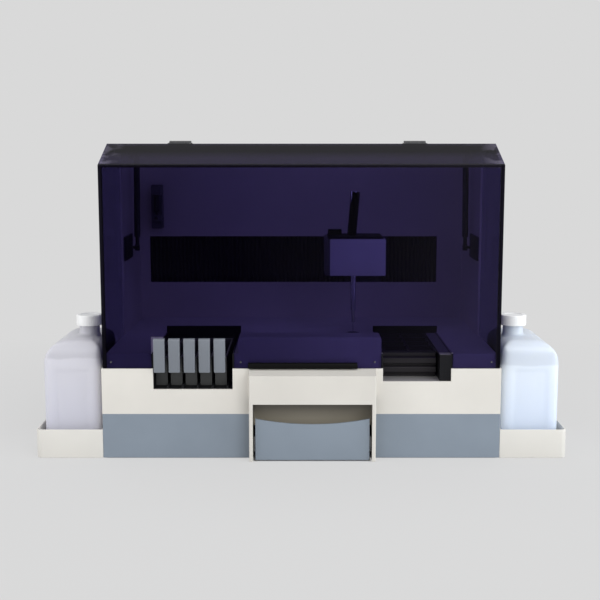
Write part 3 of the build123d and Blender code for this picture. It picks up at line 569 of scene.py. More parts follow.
@dataclass(frozen=True)
class MilkyPlastic:
    """Blown polyethylene: pale, a little see-through, with a faint fill line and flow marks."""

    name: str
    colour: Colour
    deep: Colour
    fill_height: float
    foot_height: float = 0.02
    fill_fade: float = 0.004
    empty_tone: float = 0.86
    flow: float = 18.0
    flow_stretch: Triple = (1.0, 1.0, 0.25)
    flow_drift: float = 0.01
    flow_gloss: float = 0.3
    flow_relief: float = 6.0
    grain: float = 900.0
    grain_relief: float = 0.3
    relief: float = 0.0001
    roughness: float = 0.36
    glow: float = 0.55
    glow_reach: Triple = (0.02, 0.02, 0.022)

    def make(self) -> bpy.types.Material:
        """Builds the material.

        Returns:
            The finished material.
        """
        recipe = Recipe(self.name)
        flow = recipe.noise(self.flow, 4.0, self.flow_stretch)
        grain = recipe.noise(self.grain)
        height = recipe.axes()[Z] + flow.swing(self.flow_drift)
        filled = height.band(self.foot_height, self.fill_height)
        colour = recipe.blend(filled, self.deep, self.colour)
        above = height.band(self.fill_height, self.fill_height + self.fill_fade)
        relief = flow * self.flow_relief + grain * self.grain_relief
        inputs = {
            "Base Color": recipe.blend(above, colour, toned(self.colour, self.empty_tone)),
            "Roughness": flow.swing(self.flow_gloss) + self.roughness,
            "Normal": recipe.bump(relief, self.relief),
            "Subsurface Weight": self.glow,
            "Subsurface Radius": self.glow_reach,
            "Subsurface Scale": 1.0,
        }
        return recipe.plain(inputs)


@dataclass(frozen=True)
class BoardLacquer:
    """Green board with paler tracks, and dark chips where the board rises."""

    name: str
    chip_height: float
    board: Colour = (0.01, 0.09, 0.03)
    track: Colour = (0.06, 0.22, 0.08)
    chip: Colour = (0.012, 0.012, 0.013)
    track_scale: float = 90.0
    track_width: float = 0.06
    chip_fade: float = 0.0005
    patches: float = 60.0
    patch_gloss: float = 0.2
    roughness: float = 0.25

    def make(self) -> bpy.types.Material:
        """Builds the material.

        Returns:
            The finished material.
        """
        recipe = Recipe(self.name)
        inputs = {
            "Vector": recipe.place(),
            "Scale": self.track_scale,
            "Mortar Size": self.track_width,
        }
        tracks = recipe.value("ShaderNodeTexBrick", {}, inputs, "Fac")
        colour = recipe.blend(tracks, self.board, self.track)
        chips = recipe.axes()[Z].band(self.chip_height, self.chip_height + self.chip_fade)
        colour = recipe.blend(chips, colour, self.chip)
        rough = recipe.noise(self.patches) * self.patch_gloss + self.roughness
        return recipe.plain({"Base Color": colour, "Roughness": rough})


@dataclass(frozen=True)
class PleatedCloth:
    """Coated black cloth of the bellows: a fine weave under a dull sheen."""

    name: str
    colour: Colour
    weave: float = 2200.0
    weave_stretch: Triple = (1.0, 1.0, 0.3)
    relief: float = 0.00008
    worn: float = 40.0
    worn_contrast: Span = (0.45, 0.75)
    worn_tone: float = 2.2
    worn_lift: float = 0.004
    worn_gloss: float = 0.3
    roughness: float = 0.45
    sheen: float = 0.15

    def make(self) -> bpy.types.Material:
        """Builds the material.

        Returns:
            The finished material.
        """
        recipe = Recipe(self.name)
        weave = recipe.noise(self.weave, 1.0, self.weave_stretch)
        worn = recipe.noise(self.worn, detail=3.0)
        pale = toned(self.colour, self.worn_tone, self.worn_lift)
        inputs = {
            "Base Color": recipe.blend(worn.band(*self.worn_contrast), self.colour, pale),
            "Roughness": worn * self.worn_gloss + self.roughness,
            "Normal": recipe.bump(weave, self.relief),
            "Sheen Weight": self.sheen,
        }
        return recipe.plain(inputs)


@dataclass
class Finishes:
    """Every finish of the instrument, by the record's slots."""

    bevel_low: float = 0.551
    bevel_depth: float = 0.102
    hood_inset: float = 0.0002
    bezel_lip: float = 0.004
    chip_drop: float = 0.0055
    made: dict[str, bpy.types.Material] = field(default_factory=dict)
    special: dict[str, str] = field(
        default_factory=lambda: {"reagent_bay": "bay_pale_floor", "centre_bezel": "bezel_white"}
    )

    def pale_skins(self) -> list[Moulding]:
        """Lists the finishes of the pale mouldings and of the painted covers.

        Returns:
            The finishes.
        """
        recess_front = span("centre_bezel")[Y][0] + self.bezel_lip
        return [
            Moulding("casing_white", linear(225, 221, 213), 0.5, mottle=0.03, dust=0.4),
            # The bezel's well is in painted shade: a darker, warmer white, darkest under its
            # overhang.
            Moulding(
                "bezel_white",
                linear(218, 214, 206),
                0.5,
                mottle=0.03,
                dust=0.4,
                recess=linear(150, 143, 128),
                recess_front=recess_front,
            ),
            Moulding("deck_white", linear(222, 220, 216), 0.42, mottle=0.04),
            Moulding("head_white", linear(228, 228, 232), 0.4),
            Moulding("panel_grey", linear(134, 145, 157), 0.5, 1100.0, dust=0.5),
            Moulding("tray_white", linear(224, 221, 214), 0.46, mottle=0.03, dust=0.3),
            Moulding("cover_metal", linear(208, 205, 198), 0.5, 1600.0, mottle=0.03),
            Moulding("handle_grey", linear(121, 126, 134), 0.42, wear=0.2),
            Moulding("cap_white", linear(254, 254, 253), 0.4, mottle=0.0, edge=0.0002),
        ]

    def dark_skins(self) -> list[Moulding]:
        """Lists the finishes of the dark mouldings and of the blackened metal pieces.

        Returns:
            The finishes.
        """
        # Painted light: the reagent bay's upward faces take this paler grey for the light falling
        # on them.
        bay_lit_floor = linear(150, 148, 147)
        return [
            Moulding("bay_dark", linear(27, 27, 30), 0.5, wear=0.05, index=1.25),
            Moulding("bay_pale_floor", linear(24, 24, 27), wear=0.03, index=1.22, floor=bay_lit_floor),
            Moulding("rack_dark", linear(66, 67, 67), 0.45, wear=0.08),
            Moulding("tray_grey", linear(41, 38, 42), 0.45, wear=0.06, index=1.32),
            Moulding("black_plastic", linear(9, 9, 9), 0.5, wear=0.02, index=1.18),
            Moulding("foot_rubber", linear(30, 30, 30), 0.8, 500.0, wear=0.03),
            Moulding("black_metal", linear(34, 34, 38), 0.42, 2200.0, wear=0.1),
            # Painted shade: only the head's cheek takes this grey, for the shade on the head's
            # left side.
            Moulding("head_grey", linear(86, 86, 90), 0.45),
            Moulding("pump_grey", linear(112, 112, 116), 0.45, 2200.0),
            Moulding("hinge_black", linear(60, 60, 62), 0.4, 1800.0, wear=0.2),
        ]

    def other_materials(self) -> list[object]:
        """Lists the finishes of bare metal, cloth, board, bottles and hood.

        Returns:
            The finishes.
        """
        hood_x, hood_y, hood_z = span("hood_shell")
        slope = (hood_z[1] - self.bevel_low) / self.bevel_depth
        half_width = hood_x[1] - self.hood_inset
        tint = (0.49, 0.46, 0.65)
        right_wall, right_deep = linear(227, 235, 246), linear(211, 222, 241)
        left_wall, left_deep = linear(216, 215, 222), linear(204, 204, 216)
        right_fill, left_fill = 0.172, 0.186
        return [
            Metal("zinc_steel", (0.55, 0.57, 0.58), 0.42, spangle=0.5),
            Metal("steel_bright", (0.66, 0.66, 0.67), 0.22),
            Metal("anodised_aluminium", (0.6, 0.61, 0.62), 0.38, Grain.ALONG_Y),
            PleatedCloth("bellows_black", (0.006, 0.006, 0.007)),
            BoardLacquer("board_green", span("control_board")[Z][1] - self.chip_drop),
            MilkyPlastic("bottle_milky", right_wall, right_deep, right_fill),
            MilkyPlastic("bottle_milky_full", left_wall, left_deep, left_fill),
            TintedAcrylic("tinted_acrylic", tint, hood_y[0], self.bevel_low, slope, half_width),
        ]

    def build(self) -> None:
        """Makes the materials and puts them on the CAD nodes."""
        for finish in (*self.pale_skins(), *self.dark_skins(), *self.other_materials()):
            self.made[finish.name] = finish.make()
        for row in frame["record"]["subparts"]:
            name = self.special.get(row["node"], row["material_slot"])
            for slot in frame["nodes"][row["node"]].material_slots:
                slot.material = self.made[name]
            log.info("finished %s in %s", row["node"], name)


class Piece:
    """One new piece, shaped step by step with Blender's operators."""

    def __init__(self, obj: bpy.types.Object, name: str) -> None:
        """Takes the object that is being shaped, and names it and its mesh."""
        self.obj = obj
        obj.name = obj.data.name = name

    @staticmethod
    def only(*objects: bpy.types.Object) -> None:
        """Selects these objects and nothing else.

        Args:
            objects: the objects. The first one becomes active.
        """
        for other in bpy.context.view_layer.objects:
            other.select_set(other in objects)
        if objects:
            bpy.context.view_layer.objects.active = objects[0]

    @classmethod
    def placed(cls, name: str) -> "Piece":
        """Takes the primitive that was just added, and puts its place into its mesh."""
        bpy.ops.object.transform_apply(location=True, rotation=True, scale=True)
        return cls(bpy.context.active_object, name)

    @classmethod
    def box(cls, name: str, *extents: Span) -> "Piece":
        """Starts from a box.

        Args:
            name: the piece's name.
            extents: its extents along X, Y and Z.

        Returns:
            The piece.
        """
        cls.only()
        centre = [middle(extent) for extent in extents]
        size = [abs(end - start) for start, end in extents]
        bpy.ops.mesh.primitive_cube_add(size=1.0, location=centre, scale=size)
        return cls.placed(name)

    @classmethod
    def rod(cls, name: str, start: Triple, end: Triple, radius: float, sides: int = 32) -> "Piece":
        """Starts from a cylinder between two points.

        Args:
            name: the piece's name.
            start: one end's middle.
            end: the other end's middle.
            radius: its radius.
            sides: faces round it.

        Returns:
            The piece.
        """
        cls.only()
        run = Vector(end) - Vector(start)
        bpy.ops.mesh.primitive_cylinder_add(
            vertices=sides,
            radius=radius,
            depth=run.length,
            location=(Vector(start) + Vector(end)) / 2,
            rotation=run.to_track_quat("Z", "Y").to_euler(),
        )
        return cls.placed(name)

    @classmethod
    def ring(cls, name: str, centre: Triple, radius: float, thickness: float) -> "Piece":
        """Starts from a level ring.

        Args:
            name: the piece's name.
            centre: its centre.
            radius: its radius, to the middle of its round section.
            thickness: the section's radius.

        Returns:
            The piece.
        """
        cls.only()
        bpy.ops.mesh.primitive_torus_add(
            location=centre,
            major_radius=radius,
            minor_radius=thickness,
            major_segments=48,
            minor_segments=8,
        )
        return cls.placed(name)

    def pick(self, kind: str, test: Test) -> None:
        """Goes to edit mode with some faces or edges selected.

        Args:
            kind: "FACE" or "EDGE".
            test: takes a face's middle and normal, or an edge's two ends.
        """
        self.only(self.obj)
        bpy.ops.object.mode_set(mode="EDIT")
        bpy.ops.mesh.select_mode(type=kind)
        bpy.ops.mesh.select_all(action="DESELECT")
        bpy.ops.object.mode_set(mode="OBJECT")
        mesh = self.obj.data
        if kind == "FACE":
            for face in mesh.polygons:
                face.select = test(face.center, face.normal)
        else:
            for edge in mesh.edges:
                edge.select = test(*(mesh.vertices[index].co for index in edge.vertices))
        bpy.ops.object.mode_set(mode="EDIT")

    def done(self) -> "Piece":
        """Leaves edit mode."""
        bpy.ops.object.mode_set(mode="OBJECT")
        return self

    def edit_edges(self, test: Test, operator: Callable, **settings: object) -> "Piece":
        """Runs one of Blender's edit operators on the edges that pass a test.

        Args:
            test: takes an edge's two ends.
            operator: the operator.
            settings: its settings.

        Returns:
            The piece itself.
        """
        self.pick("EDGE", test)
        operator(**settings)
        return self.done()

    def bevel(self, test: Test, width: float, steps: int = 4) -> "Piece":
        """Rounds the edges that pass a test, in so many steps. One step gives a chamfer."""
        settings = {"offset": width, "segments": steps, "affect": "EDGES"}
        return self.edit_edges(test, bpy.ops.mesh.bevel, **settings)

    def divide(self, test: Test, cuts: int) -> "Piece":
        """Divides the edges that pass a test by so many points, and the faces between them."""
        return self.edit_edges(test, bpy.ops.mesh.subdivide, number_cuts=cuts)

    def shift(self, test: Test, offset: Triple) -> "Piece":
        """Moves the edges that pass a test."""
        return self.edit_edges(test, bpy.ops.transform.translate, value=offset)

    def draw_in(self, test: Test, factor: float, centre: Triple) -> "Piece":
        """Draws the edges that pass a test in towards the upright axis through a point."""
        settings = {"value": (factor, factor, 1.0), "center_override": centre}
        return self.edit_edges(test, bpy.ops.transform.resize, **settings)

    def sink(self, test: Test, margin: float, depth: float, apart: bool = False) -> "Piece":
        """Insets faces and then pushes them in.

        Args:
            test: takes a face's middle and normal.
            margin: the inset's width.
            depth: how far the faces go in.
            apart: each face by itself.

        Returns:
            The piece itself.
        """
        self.pick("FACE", test)
        bpy.ops.mesh.inset(thickness=margin, use_individual=apart)
        bpy.ops.mesh.inset(thickness=0.0, depth=-depth, use_individual=apart)
        return self.done()

    def apply(self, kind: str, **settings: object) -> "Piece":
        """Adds one modifier and applies it.

        Args:
            kind: the modifier's type.
            settings: its properties.

        Returns:
            The piece itself.
        """
        self.only(self.obj)
        modifier = self.obj.modifiers.new(kind.title(), kind)
        for key, setting in settings.items():
            setattr(modifier, key, setting)
        bpy.ops.object.modifier_apply(modifier=modifier.name)
        return self

    def combine(self, operation: str, *others: "Piece") -> "Piece":
        """Combines other pieces with this one and deletes them.

        Args:
            operation: "DIFFERENCE", "UNION" or "INTERSECT".
            others: the pieces to combine it with.

        Returns:
            The piece itself.
        """
        for other in others:
            self.apply("BOOLEAN", operation=operation, solver="EXACT", object=other.obj)
            bpy.data.objects.remove(other.obj)
        return self

    def cut(self, *cutters: "Piece") -> "Piece":
        """Cuts other pieces out of this one and deletes them."""
        return self.combine("DIFFERENCE", *cutters)

    def join(self, *others: "Piece") -> "Piece":
        """Takes other pieces into this one's mesh.

        Args:
            others: the pieces to take in.

        Returns:
            The piece itself.
        """
        self.only(self.obj, *[other.obj for other in others])
        bpy.ops.object.join()
        return self

    def soften(self, width: float = 0.0006, steps: int = 2, angle: float = 30.0) -> "Piece":
        """Puts a small round, in so many steps, on every edge sharper than an angle."""
        settings = {"width": width, "segments": steps, "angle_limit": math.radians(angle)}
        return self.apply("BEVEL", limit_method="ANGLE", **settings).smooth(angle)

    def smooth(self, angle: float = 30.0) -> "Piece":
        """Shades the piece smooth, except over sharp edges.

        Args:
            angle: the sharpest edge in degrees that still looks smooth.

        Returns:
            The piece itself.
        """
        self.only(self.obj)
        bpy.ops.object.shade_smooth_by_angle(angle=math.radians(angle))
        return self

    def dress(
        self, finishes: Finishes, slot: str, body: str, *nodes: str, finish: str = ""
    ) -> None:
        """Gives the piece its finish, its body and the nodes that it stands for.

        Args:
            finishes: the instrument's finishes.
            slot: the record's material slot.
            body: the body that it rides on, or an empty name to put it on none.
            nodes: CAD nodes that it replaces.
            finish: its finish, where that isn't the slot's own.
        """
        self.obj.data.materials.clear()
        self.obj.data.materials.append(finishes.made[finish or slot])
        if body:
            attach(self.obj, body)
        if nodes:
            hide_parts(*nodes)
        log.info("made %s with %d faces", self.obj.name, len(self.obj.data.polygons))


@dataclass
class Bottle:
    """Blown container with a rounded outer shoulder, sunk panels and a threaded neck."""

    name: str
    side: int
    finishes: Finishes
    neck_height: float = 0.0355
    neck_radius: float = 0.020
    neck_root: float = 0.01
    shoulder: float = 0.048
    top_round: float = 0.026
    corner: float = 0.014
    foot_round: float = 0.006
    round_steps: int = 10
    panel_x: Span = (0.022, -0.022)
    panel_z: Span = (0.03, -0.055)
    panel_depth: float = 0.0014
    panel_round: float = 0.006
    thread: float = 0.0011
    thread_drops: Triple = (0.006, 0.0105, 0.015)
    grain: float = 0.0026

    def view(self, name: str, extents: Room, along: int, rounds: dict[Span, float]) -> Piece:
        """Makes a box whose edges along one axis are rounded.

        Args:
            name: a working name.
            extents: its extents along X, Y and Z.
            along: the axis that the edges run along.
            rounds: radius for each pair of places on the two other axes.

        Returns:
            The rounded box.
        """
        piece = Piece.box(name, *extents)
        first, second = (axis for axis in (X, Y, Z) if axis != along)
        for (one, two), radius in rounds.items():
            piece.bevel(edge_at({first: one, second: two}), radius, self.round_steps)
        return piece

    def shape_body(self, extents: Room) -> Piece:
        """Crosses three rounded boxes: as seen from the front, the side and the top.

        Args:
            extents: the body's extents along X, Y and Z.

        Returns:
            The body.
        """
        x, y, z = extents
        wide_x, wide_y, wide_z = ((low - OVERLAP, high + OVERLAP) for low, high in extents)
        outer, inner = x if self.side < 0 else x[::-1]
        front = {(outer, z[1]): self.shoulder, (inner, z[1]): self.top_round}
        flank = {(place, z[1]): self.top_round for place in y}
        plan = {(across, back): self.corner for across in x for back in y}
        body = self.view(f"{self.name}_dressed", (x, wide_y, z), Y, front)
        seen_from_side = self.view("flank", (wide_x, y, z), X, flank)
        seen_from_top = self.view("plan", (x, y, wide_z), Z, plan)
        body.combine("INTERSECT", seen_from_side, seen_from_top)
        return body.bevel(edge_at({Z: z[0]}), self.foot_round)

    def build(self) -> None:
        """Shapes the container and puts it in place of its node."""
        x, y, z = span(self.name)
        top = z[1] - self.neck_height
        body = self.shape_body((x, y, (z[0], top)))
        panel_x, panel_z = part(x, *self.panel_x), part((z[0], top), *self.panel_z)
        for front, facing in ((y[0], -1), (y[1], 1)):
            panel_y = (front - facing * self.panel_depth, front + facing * OVERLAP)
            recess = Piece.box("recess", panel_x, panel_y, panel_z)
            body.cut(recess.bevel(edge_at({}, Y), self.panel_round))
        neck_x, neck_y, _ = map(middle, span(self.name.replace("bottle", "cap")))
        root, mouth = (neck_x, neck_y, top - self.neck_root), (neck_x, neck_y, z[1])
        body.combine("UNION", Piece.rod("neck", root, mouth, self.neck_radius))
        body.apply("REMESH", mode="VOXEL", voxel_size=self.grain)
        body.apply("SMOOTH", factor=0.5, iterations=8)
        threads = [
            Piece.ring("thread", (neck_x, neck_y, z[1] - drop), self.neck_radius, self.thread)
            for drop in self.thread_drops
        ]
        body.join(*threads).smooth(angle=40.0)
        finish = "bottle_milky_full" if self.side < 0 else "bottle_milky"
        body.dress(self.finishes, "bottle_milky", self.name, self.name, finish=finish)


@dataclass
class Cap:
    """Screw cap with gripping ribs, a rounded rim, a sunk top and a hollow underside."""

    name: str
    finishes: Finishes
    ribs: int = 36
    rib_margin: float = 0.0003
    rib_depth: float = 0.00025
    rim: float = 0.0024
    top_margin: float = 0.006
    top_depth: float = 0.0007
    wall: float = 0.0027
    hollow: float = 0.0165

    def build(self) -> None:
        """Shapes the cap and puts it in place of its node."""
        x, y, z = span(self.name)
        axis_x, axis_y = middle(x), middle(y)
        foot, top = ((axis_x, axis_y, height) for height in z)
        cap = Piece.rod(f"{self.name}_dressed", foot, top, (x[1] - x[0]) / 2, self.ribs * 2)
        cap.bevel(edge_at({Z: z[1]}), self.rim)

        def grooved(centre: Vector, facing: Vector) -> bool:
            """Every other face round the side."""
            angle = math.atan2(centre.y - axis_y, centre.x - axis_x) % math.tau
            return abs(facing.z) < UPRIGHT and int(angle / (math.pi / self.ribs)) % 2 == 0

        cap.sink(grooved, self.rib_margin, self.rib_depth, apart=True)
        cap.sink(face_at(Z, z[1]), self.top_margin, self.top_depth)
        cap.sink(face_at(Z, z[0]), self.wall, self.hollow)
        cap.smooth(angle=35.0)
        cap.dress(self.finishes, "cap_white", self.name, self.name)


@dataclass
class RackHandle:
    """Upright grip of a sample rack, with a finger hollow behind and an arm to the rack."""

    index: int
    finishes: Finishes
    grip: float = 0.012
    corner: float = 0.0028
    top_round: float = 0.005
    hollow_x: Span = (0.004, -0.004)
    hollow_z: Span = (0.026, -0.006)
    hollow_depth: float = 0.003
    hollow_round: float = 0.004
    arm_width: float = 0.012
    arm_z: Span = (0.006, 0.020)
    arm_root: float = 0.001

    def build(self) -> None:
        """Shapes the handle and puts it in place of its node."""
        name = f"rack_handle_{self.index}"
        x, y, z = span(name)
        back = y[0] + self.grip
        plate = Piece.box(f"{name}_dressed", x, (y[0], back), z)
        plate.bevel(edge_at({Z: z[1]}, X), self.top_round, steps=5)
        plate.bevel(edge_at({Y: y[0]}, Z), self.corner)
        hollow_y = (back - self.hollow_depth, back + OVERLAP)
        hollow = Piece.box("hollow", part(x, *self.hollow_x), hollow_y, part(z, *self.hollow_z))
        plate.cut(hollow.bevel(edge_at({}, Y), self.hollow_round))
        arm_x = (middle(x) - self.arm_width / 2, middle(x) + self.arm_width / 2)
        arm = Piece.box("arm", arm_x, (back - self.arm_root, y[1]), part(z, *self.arm_z))
        plate.combine("UNION", arm).soften(width=0.0005)
        plate.dress(self.finishes, "handle_grey", f"rack_{self.index}", name)


@dataclass
class Bellows:
    """Pleated cloth that closes the slot beside the carriage and stretches as it travels."""

    name: str
    fixed_left: bool
    finishes: Finishes
    pitch: float = 0.009
    cloth: float = 0.001

    def build(self) -> None:
        """Folds the cloth in place of its node, on no body."""
        x, y, z = span(self.name)
        folds = 2 * round((x[1] - x[0]) / self.pitch)
        step = (x[1] - x[0]) / folds
        cloth = Piece.box(f"{self.name}_dressed", x, (y[0], y[0] + self.cloth), z)
        cloth.divide(edge_at({}, X), folds - 1)

        def valley(a: Vector, b: Vector) -> bool:
            """Every other upright edge."""
            return abs(a.x - b.x) < step / 4 and round((a.x - x[0]) / step) % 2 == 1

        cloth.shift(valley, (0.0, y[1] - y[0] - self.cloth, 0.0)).smooth(angle=20.0)
        cloth.dress(self.finishes, "bellows_black", "", self.name)
        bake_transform(cloth.obj)


@dataclass
class Head:
    """Cover of the pipetting head, its grey cheek in painted shade, its dark lid and the sleeve
    round the probe.
    """

    finishes: Finishes
    soft: float = 0.0006
    corner: float = 0.003
    top_round: float = 0.002
    wall: float = 0.003
    roof: float = 0.006
    cheek: float = 0.010
    cheek_rest: float = 0.0012
    panel_y: Span = (0.02, -0.012)
    panel_z: Span = (0.010, -0.010)
    panel_depth: float = 0.0008
    panel_round: float = 0.004
    lid: float = 0.003
    lid_x: Span = (0.006, -0.004)
    lid_y: Span = (0.006, -0.004)
    lid_root: float = 0.001
    lid_round: float = 0.006
    port_x: Span = (0.008, 0.036)
    port_y: Span = (-0.04, -0.012)
    port_height: float = 0.013
    port_round: float = 0.003
    sleeve: float = 0.0098
    sleeve_waist: float = 0.9
    sleeve_rings: int = 16
    sleeve_gaps: Span = (0.004, 0.002)
    lean: float = 0.0038

    def build_cover(self) -> None:
        """Shapes the cover with its rounded corners and an open underside."""
        x, y, z = span("head_cover")
        cover = Piece.box("head_cover_dressed", (x[0] + self.cheek, x[1]), y, z)
        cover.bevel(edge_at({X: x[1]}, Z), self.corner)
        cover.bevel(edge_at({Z: z[1]}), self.top_round, steps=3)
        cover.sink(face_at(Z, z[0]), self.wall, z[1] - z[0] - self.roof)
        cover.soften(self.soft)
        cover.dress(self.finishes, "head_white", "head", "head_cover")

    def build_cheek(self) -> None:
        """Shapes the cheek, grey as painted shade, with its chamfered front edge, on the cover's
        left.
        """
        x, y, z = span("head_cover")
        cheek = Piece.box("head_cheek", (x[0], x[0] + self.cheek), y, z)
        cheek.bevel(edge_at({X: x[0], Y: y[0]}), self.cheek - self.cheek_rest, steps=1)
        panel_x = (x[0] - OVERLAP, x[0] + self.panel_depth)
        panel = Piece.box("panel", panel_x, part(y, *self.panel_y), part(z, *self.panel_z))
        cheek.cut(panel.bevel(edge_at({}, X), self.panel_round))
        cheek.soften(self.soft)
        # Painted shade: the grey finish stands for the shade on the head's left side.
        cheek.dress(self.finishes, "black_plastic", "head", finish="head_grey")

    def build_lid(self) -> None:
        """Shapes the dark plate on the cover, with a raised port for the probe's tubing."""
        x, y, z = span("head_cover")
        lid_z = (z[1] - self.lid_root, z[1] + self.lid)
        lid = Piece.box("head_lid", part(x, *self.lid_x), part(y, *self.lid_y), lid_z)
        lid.bevel(edge_at({}, Z), self.lid_round)
        port_z = (z[1], z[1] + self.port_height)
        port = Piece.box("port", part(x, *self.port_x), part(y, *self.port_y), port_z)
        port.bevel(edge_at({}, Z), self.port_round, steps=3)
        lid.combine("UNION", port).soften(self.soft)
        lid.dress(self.finishes, "black_plastic", "head")

    def build_sleeve(self) -> None:
        """Shapes the corrugated sleeve round the probe's upper rod."""
        x, y, z = span("probe")
        cover_top = span("head_cover")[Z][1]
        low, high = cover_top + self.sleeve_gaps[0], z[1] - self.sleeve_gaps[1]
        foot = (middle(x) - self.lean, middle(y), low)
        tip = (middle(x) + self.lean, middle(y), high)
        steps = self.sleeve_rings * 2
        sleeve = Piece.rod("probe_sleeve", foot, tip, self.sleeve)
        sleeve.divide(edge_at({}, Z), steps - 1)
        step = (high - low) / steps

        def waist(a: Vector, b: Vector) -> bool:
            """Every other level edge, except at the ends."""
            row = round((a.z - low) / step)
            return abs(a.z - b.z) < step / 4 and row % 2 == 1 and 0 < row < steps

        sleeve.draw_in(waist, self.sleeve_waist, (middle(x), middle(y), (low + high) / 2))
        sleeve.smooth(angle=60.0)
        sleeve.dress(self.finishes, "black_plastic", "probe")

    def build(self) -> None:
        """Builds the head's pieces."""
        self.build_cover()
        self.build_cheek()
        self.build_lid()
        self.build_sleeve()


@dataclass
class SyringePump:
    """Dosing pump on the rear wall: a frame, a barrel with metal ends, a plunger and its block."""

    finishes: Finishes
    frame_front: float = 0.018
    frame_round: float = 0.003
    window: Room = ((0.004, -0.004), (0.0, 0.022), (0.012, 0.06))
    head: Room = ((0.002, -0.002), (0.002, 0.02), (-0.022, -0.004))
    foot: Room = ((0.003, -0.003), (0.001, 0.02), (0.018, 0.030))
    axis_depth: float = 0.010
    barrel: float = 0.0055
    barrel_z: Span = (0.040, -0.022)
    barrel_wall: float = 0.0012
    barrel_sink: float = 0.002
    plunger: float = 0.0022
    plunger_low: float = 0.028
    plunger_reach: float = 0.004
    collar: float = 0.0015
    collar_height: float = 0.005
    collar_overlaps: Span = (0.002, 0.004)
    knob: float = 0.0042
    knob_up: float = 0.024
    knob_depth: float = 0.003

    def build_frame(self) -> None:
        """Shapes the frame, with the barrel's upper end and the block below it."""
        x, y, z = span("syringe_pump")
        plate = Piece.box("pump_frame", x, (y[0] + self.frame_front, y[1]), z)
        plate.bevel(edge_at({}, Y), self.frame_round)
        window, head, foot = (
            Piece.box("block", *inside((x, y, z), room))
            for room in (self.window, self.head, self.foot)
        )
        plate.cut(window).join(head, foot).soften(width=0.0008)
        plate.dress(self.finishes, "black_metal", "base", "syringe_pump", finish="pump_grey")

    def build(self) -> None:
        """Shapes the pump in place of its node."""
        self.build_frame()
        x, y, z = span("syringe_pump")
        across, front = middle(x), y[0] + self.axis_depth
        low, high = part(z, *self.barrel_z)
        barrel = Piece.rod("pump_barrel", (across, front, low), (across, front, high), self.barrel)
        barrel.sink(face_at(Z, low), self.barrel_wall, self.barrel_sink)
        barrel.dress(self.finishes, "black_metal", "base")
        foot = (across, front, z[0] + self.plunger_low)
        tip = (across, front, low + self.plunger_reach)
        rod = Piece.rod("pump_plunger", foot, tip, self.plunger, sides=20)
        collars = [
            Piece.rod(
                "collar",
                (across, front, place),
                (across, front, place + self.collar_height),
                self.barrel + self.collar,
                sides=28,
            )
            for place in (low - self.collar_overlaps[0], high - self.collar_overlaps[1])
        ]
        face = (across, y[0], z[0] + self.knob_up)
        seat = (across, y[0] + self.knob_depth, z[0] + self.knob_up)
        knob = Piece.rod("knob", face, seat, self.knob, sides=24)
        rod.join(knob, *collars).soften(width=0.0005)
        rod.dress(self.finishes, "black_metal", "base")


@dataclass
class SideTray:
    """Drip tray for a bottle, with rounded outer corners and a rolled rim."""

    name: str
    side: int
    finishes: Finishes
    corner: float = 0.012
    wall: float = 0.003
    rim: float = 0.0012

    def build(self) -> None:
        """Shapes the tray and puts it in place of its node."""
        x, y, z = span(self.name)
        tray = Piece.box(f"{self.name}_dressed", x, y, z)
        outer = x[0] if self.side < 0 else x[1]
        tray.bevel(edge_at({X: outer}, Z), self.corner, steps=8)
        tray.sink(face_at(Z, z[1]), self.wall, z[1] - z[0] - self.wall)
        tray.soften(self.rim, steps=3, angle=50.0)
        tray.dress(self.finishes, "tray_white", "base", self.name)


@dataclass
class Grip:
    """Pull strip on the hood's lower edge, rolled over at its lip."""

    finishes: Finishes
    lip: float = 0.0035
    groove_margin: float = 0.0015
    groove_depth: float = 0.004

    def build(self) -> None:
        """Shapes the strip and puts it in place of its node."""
        x, y, z = span("hood_grip")
        grip = Piece.box("hood_grip_dressed", x, y, z)
        grip.bevel(edge_at({Y: y[0]}, X), self.lip, steps=5)
        grip.sink(face_at(Z, z[0]), self.groove_margin, self.groove_depth)
        grip.soften()
        grip.dress(self.finishes, "black_plastic", "hood", "hood_grip")


@dataclass
class Screws:
    """Small socket-head screws, joined into one piece."""

    name: str
    places: Sequence[Triple]
    facing: Triple
    radius: float
    height: float
    finishes: Finishes
    slot: str
    body: str
    nodes: Sequence[str] = ()
    round_share: float = 0.4
    socket_share: float = 0.45
    socket_depth: float = 0.55
    socket_reach: float = 0.002

    def one(self, place: Triple) -> Piece:
        """Shapes one screw head with its hexagonal socket.

        Args:
            place: the middle of its seat.

        Returns:
            The screw head.
        """
        facing = Vector(self.facing)
        end = Vector(place) + facing * self.height
        head = Piece.rod(self.name, place, tuple(end), self.radius, sides=24)

        def outer(a: Vector, b: Vector) -> bool:
            """The edges round its outer face."""
            return min((corner - end).dot(facing) for corner in (a, b)) > -NEAR

        head.bevel(outer, self.height * self.round_share, steps=3)
        start = end - facing * self.height * self.socket_depth
        mouth = end + facing * self.socket_reach
        radius = self.radius * self.socket_share
        return head.cut(Piece.rod("socket", tuple(start), tuple(mouth), radius, sides=6))

    def build(self) -> None:
        """Shapes and joins the screws."""
        first, *others = [self.one(place) for place in self.places]
        first.join(*others).smooth()
        first.dress(self.finishes, self.slot, self.body, *self.nodes)


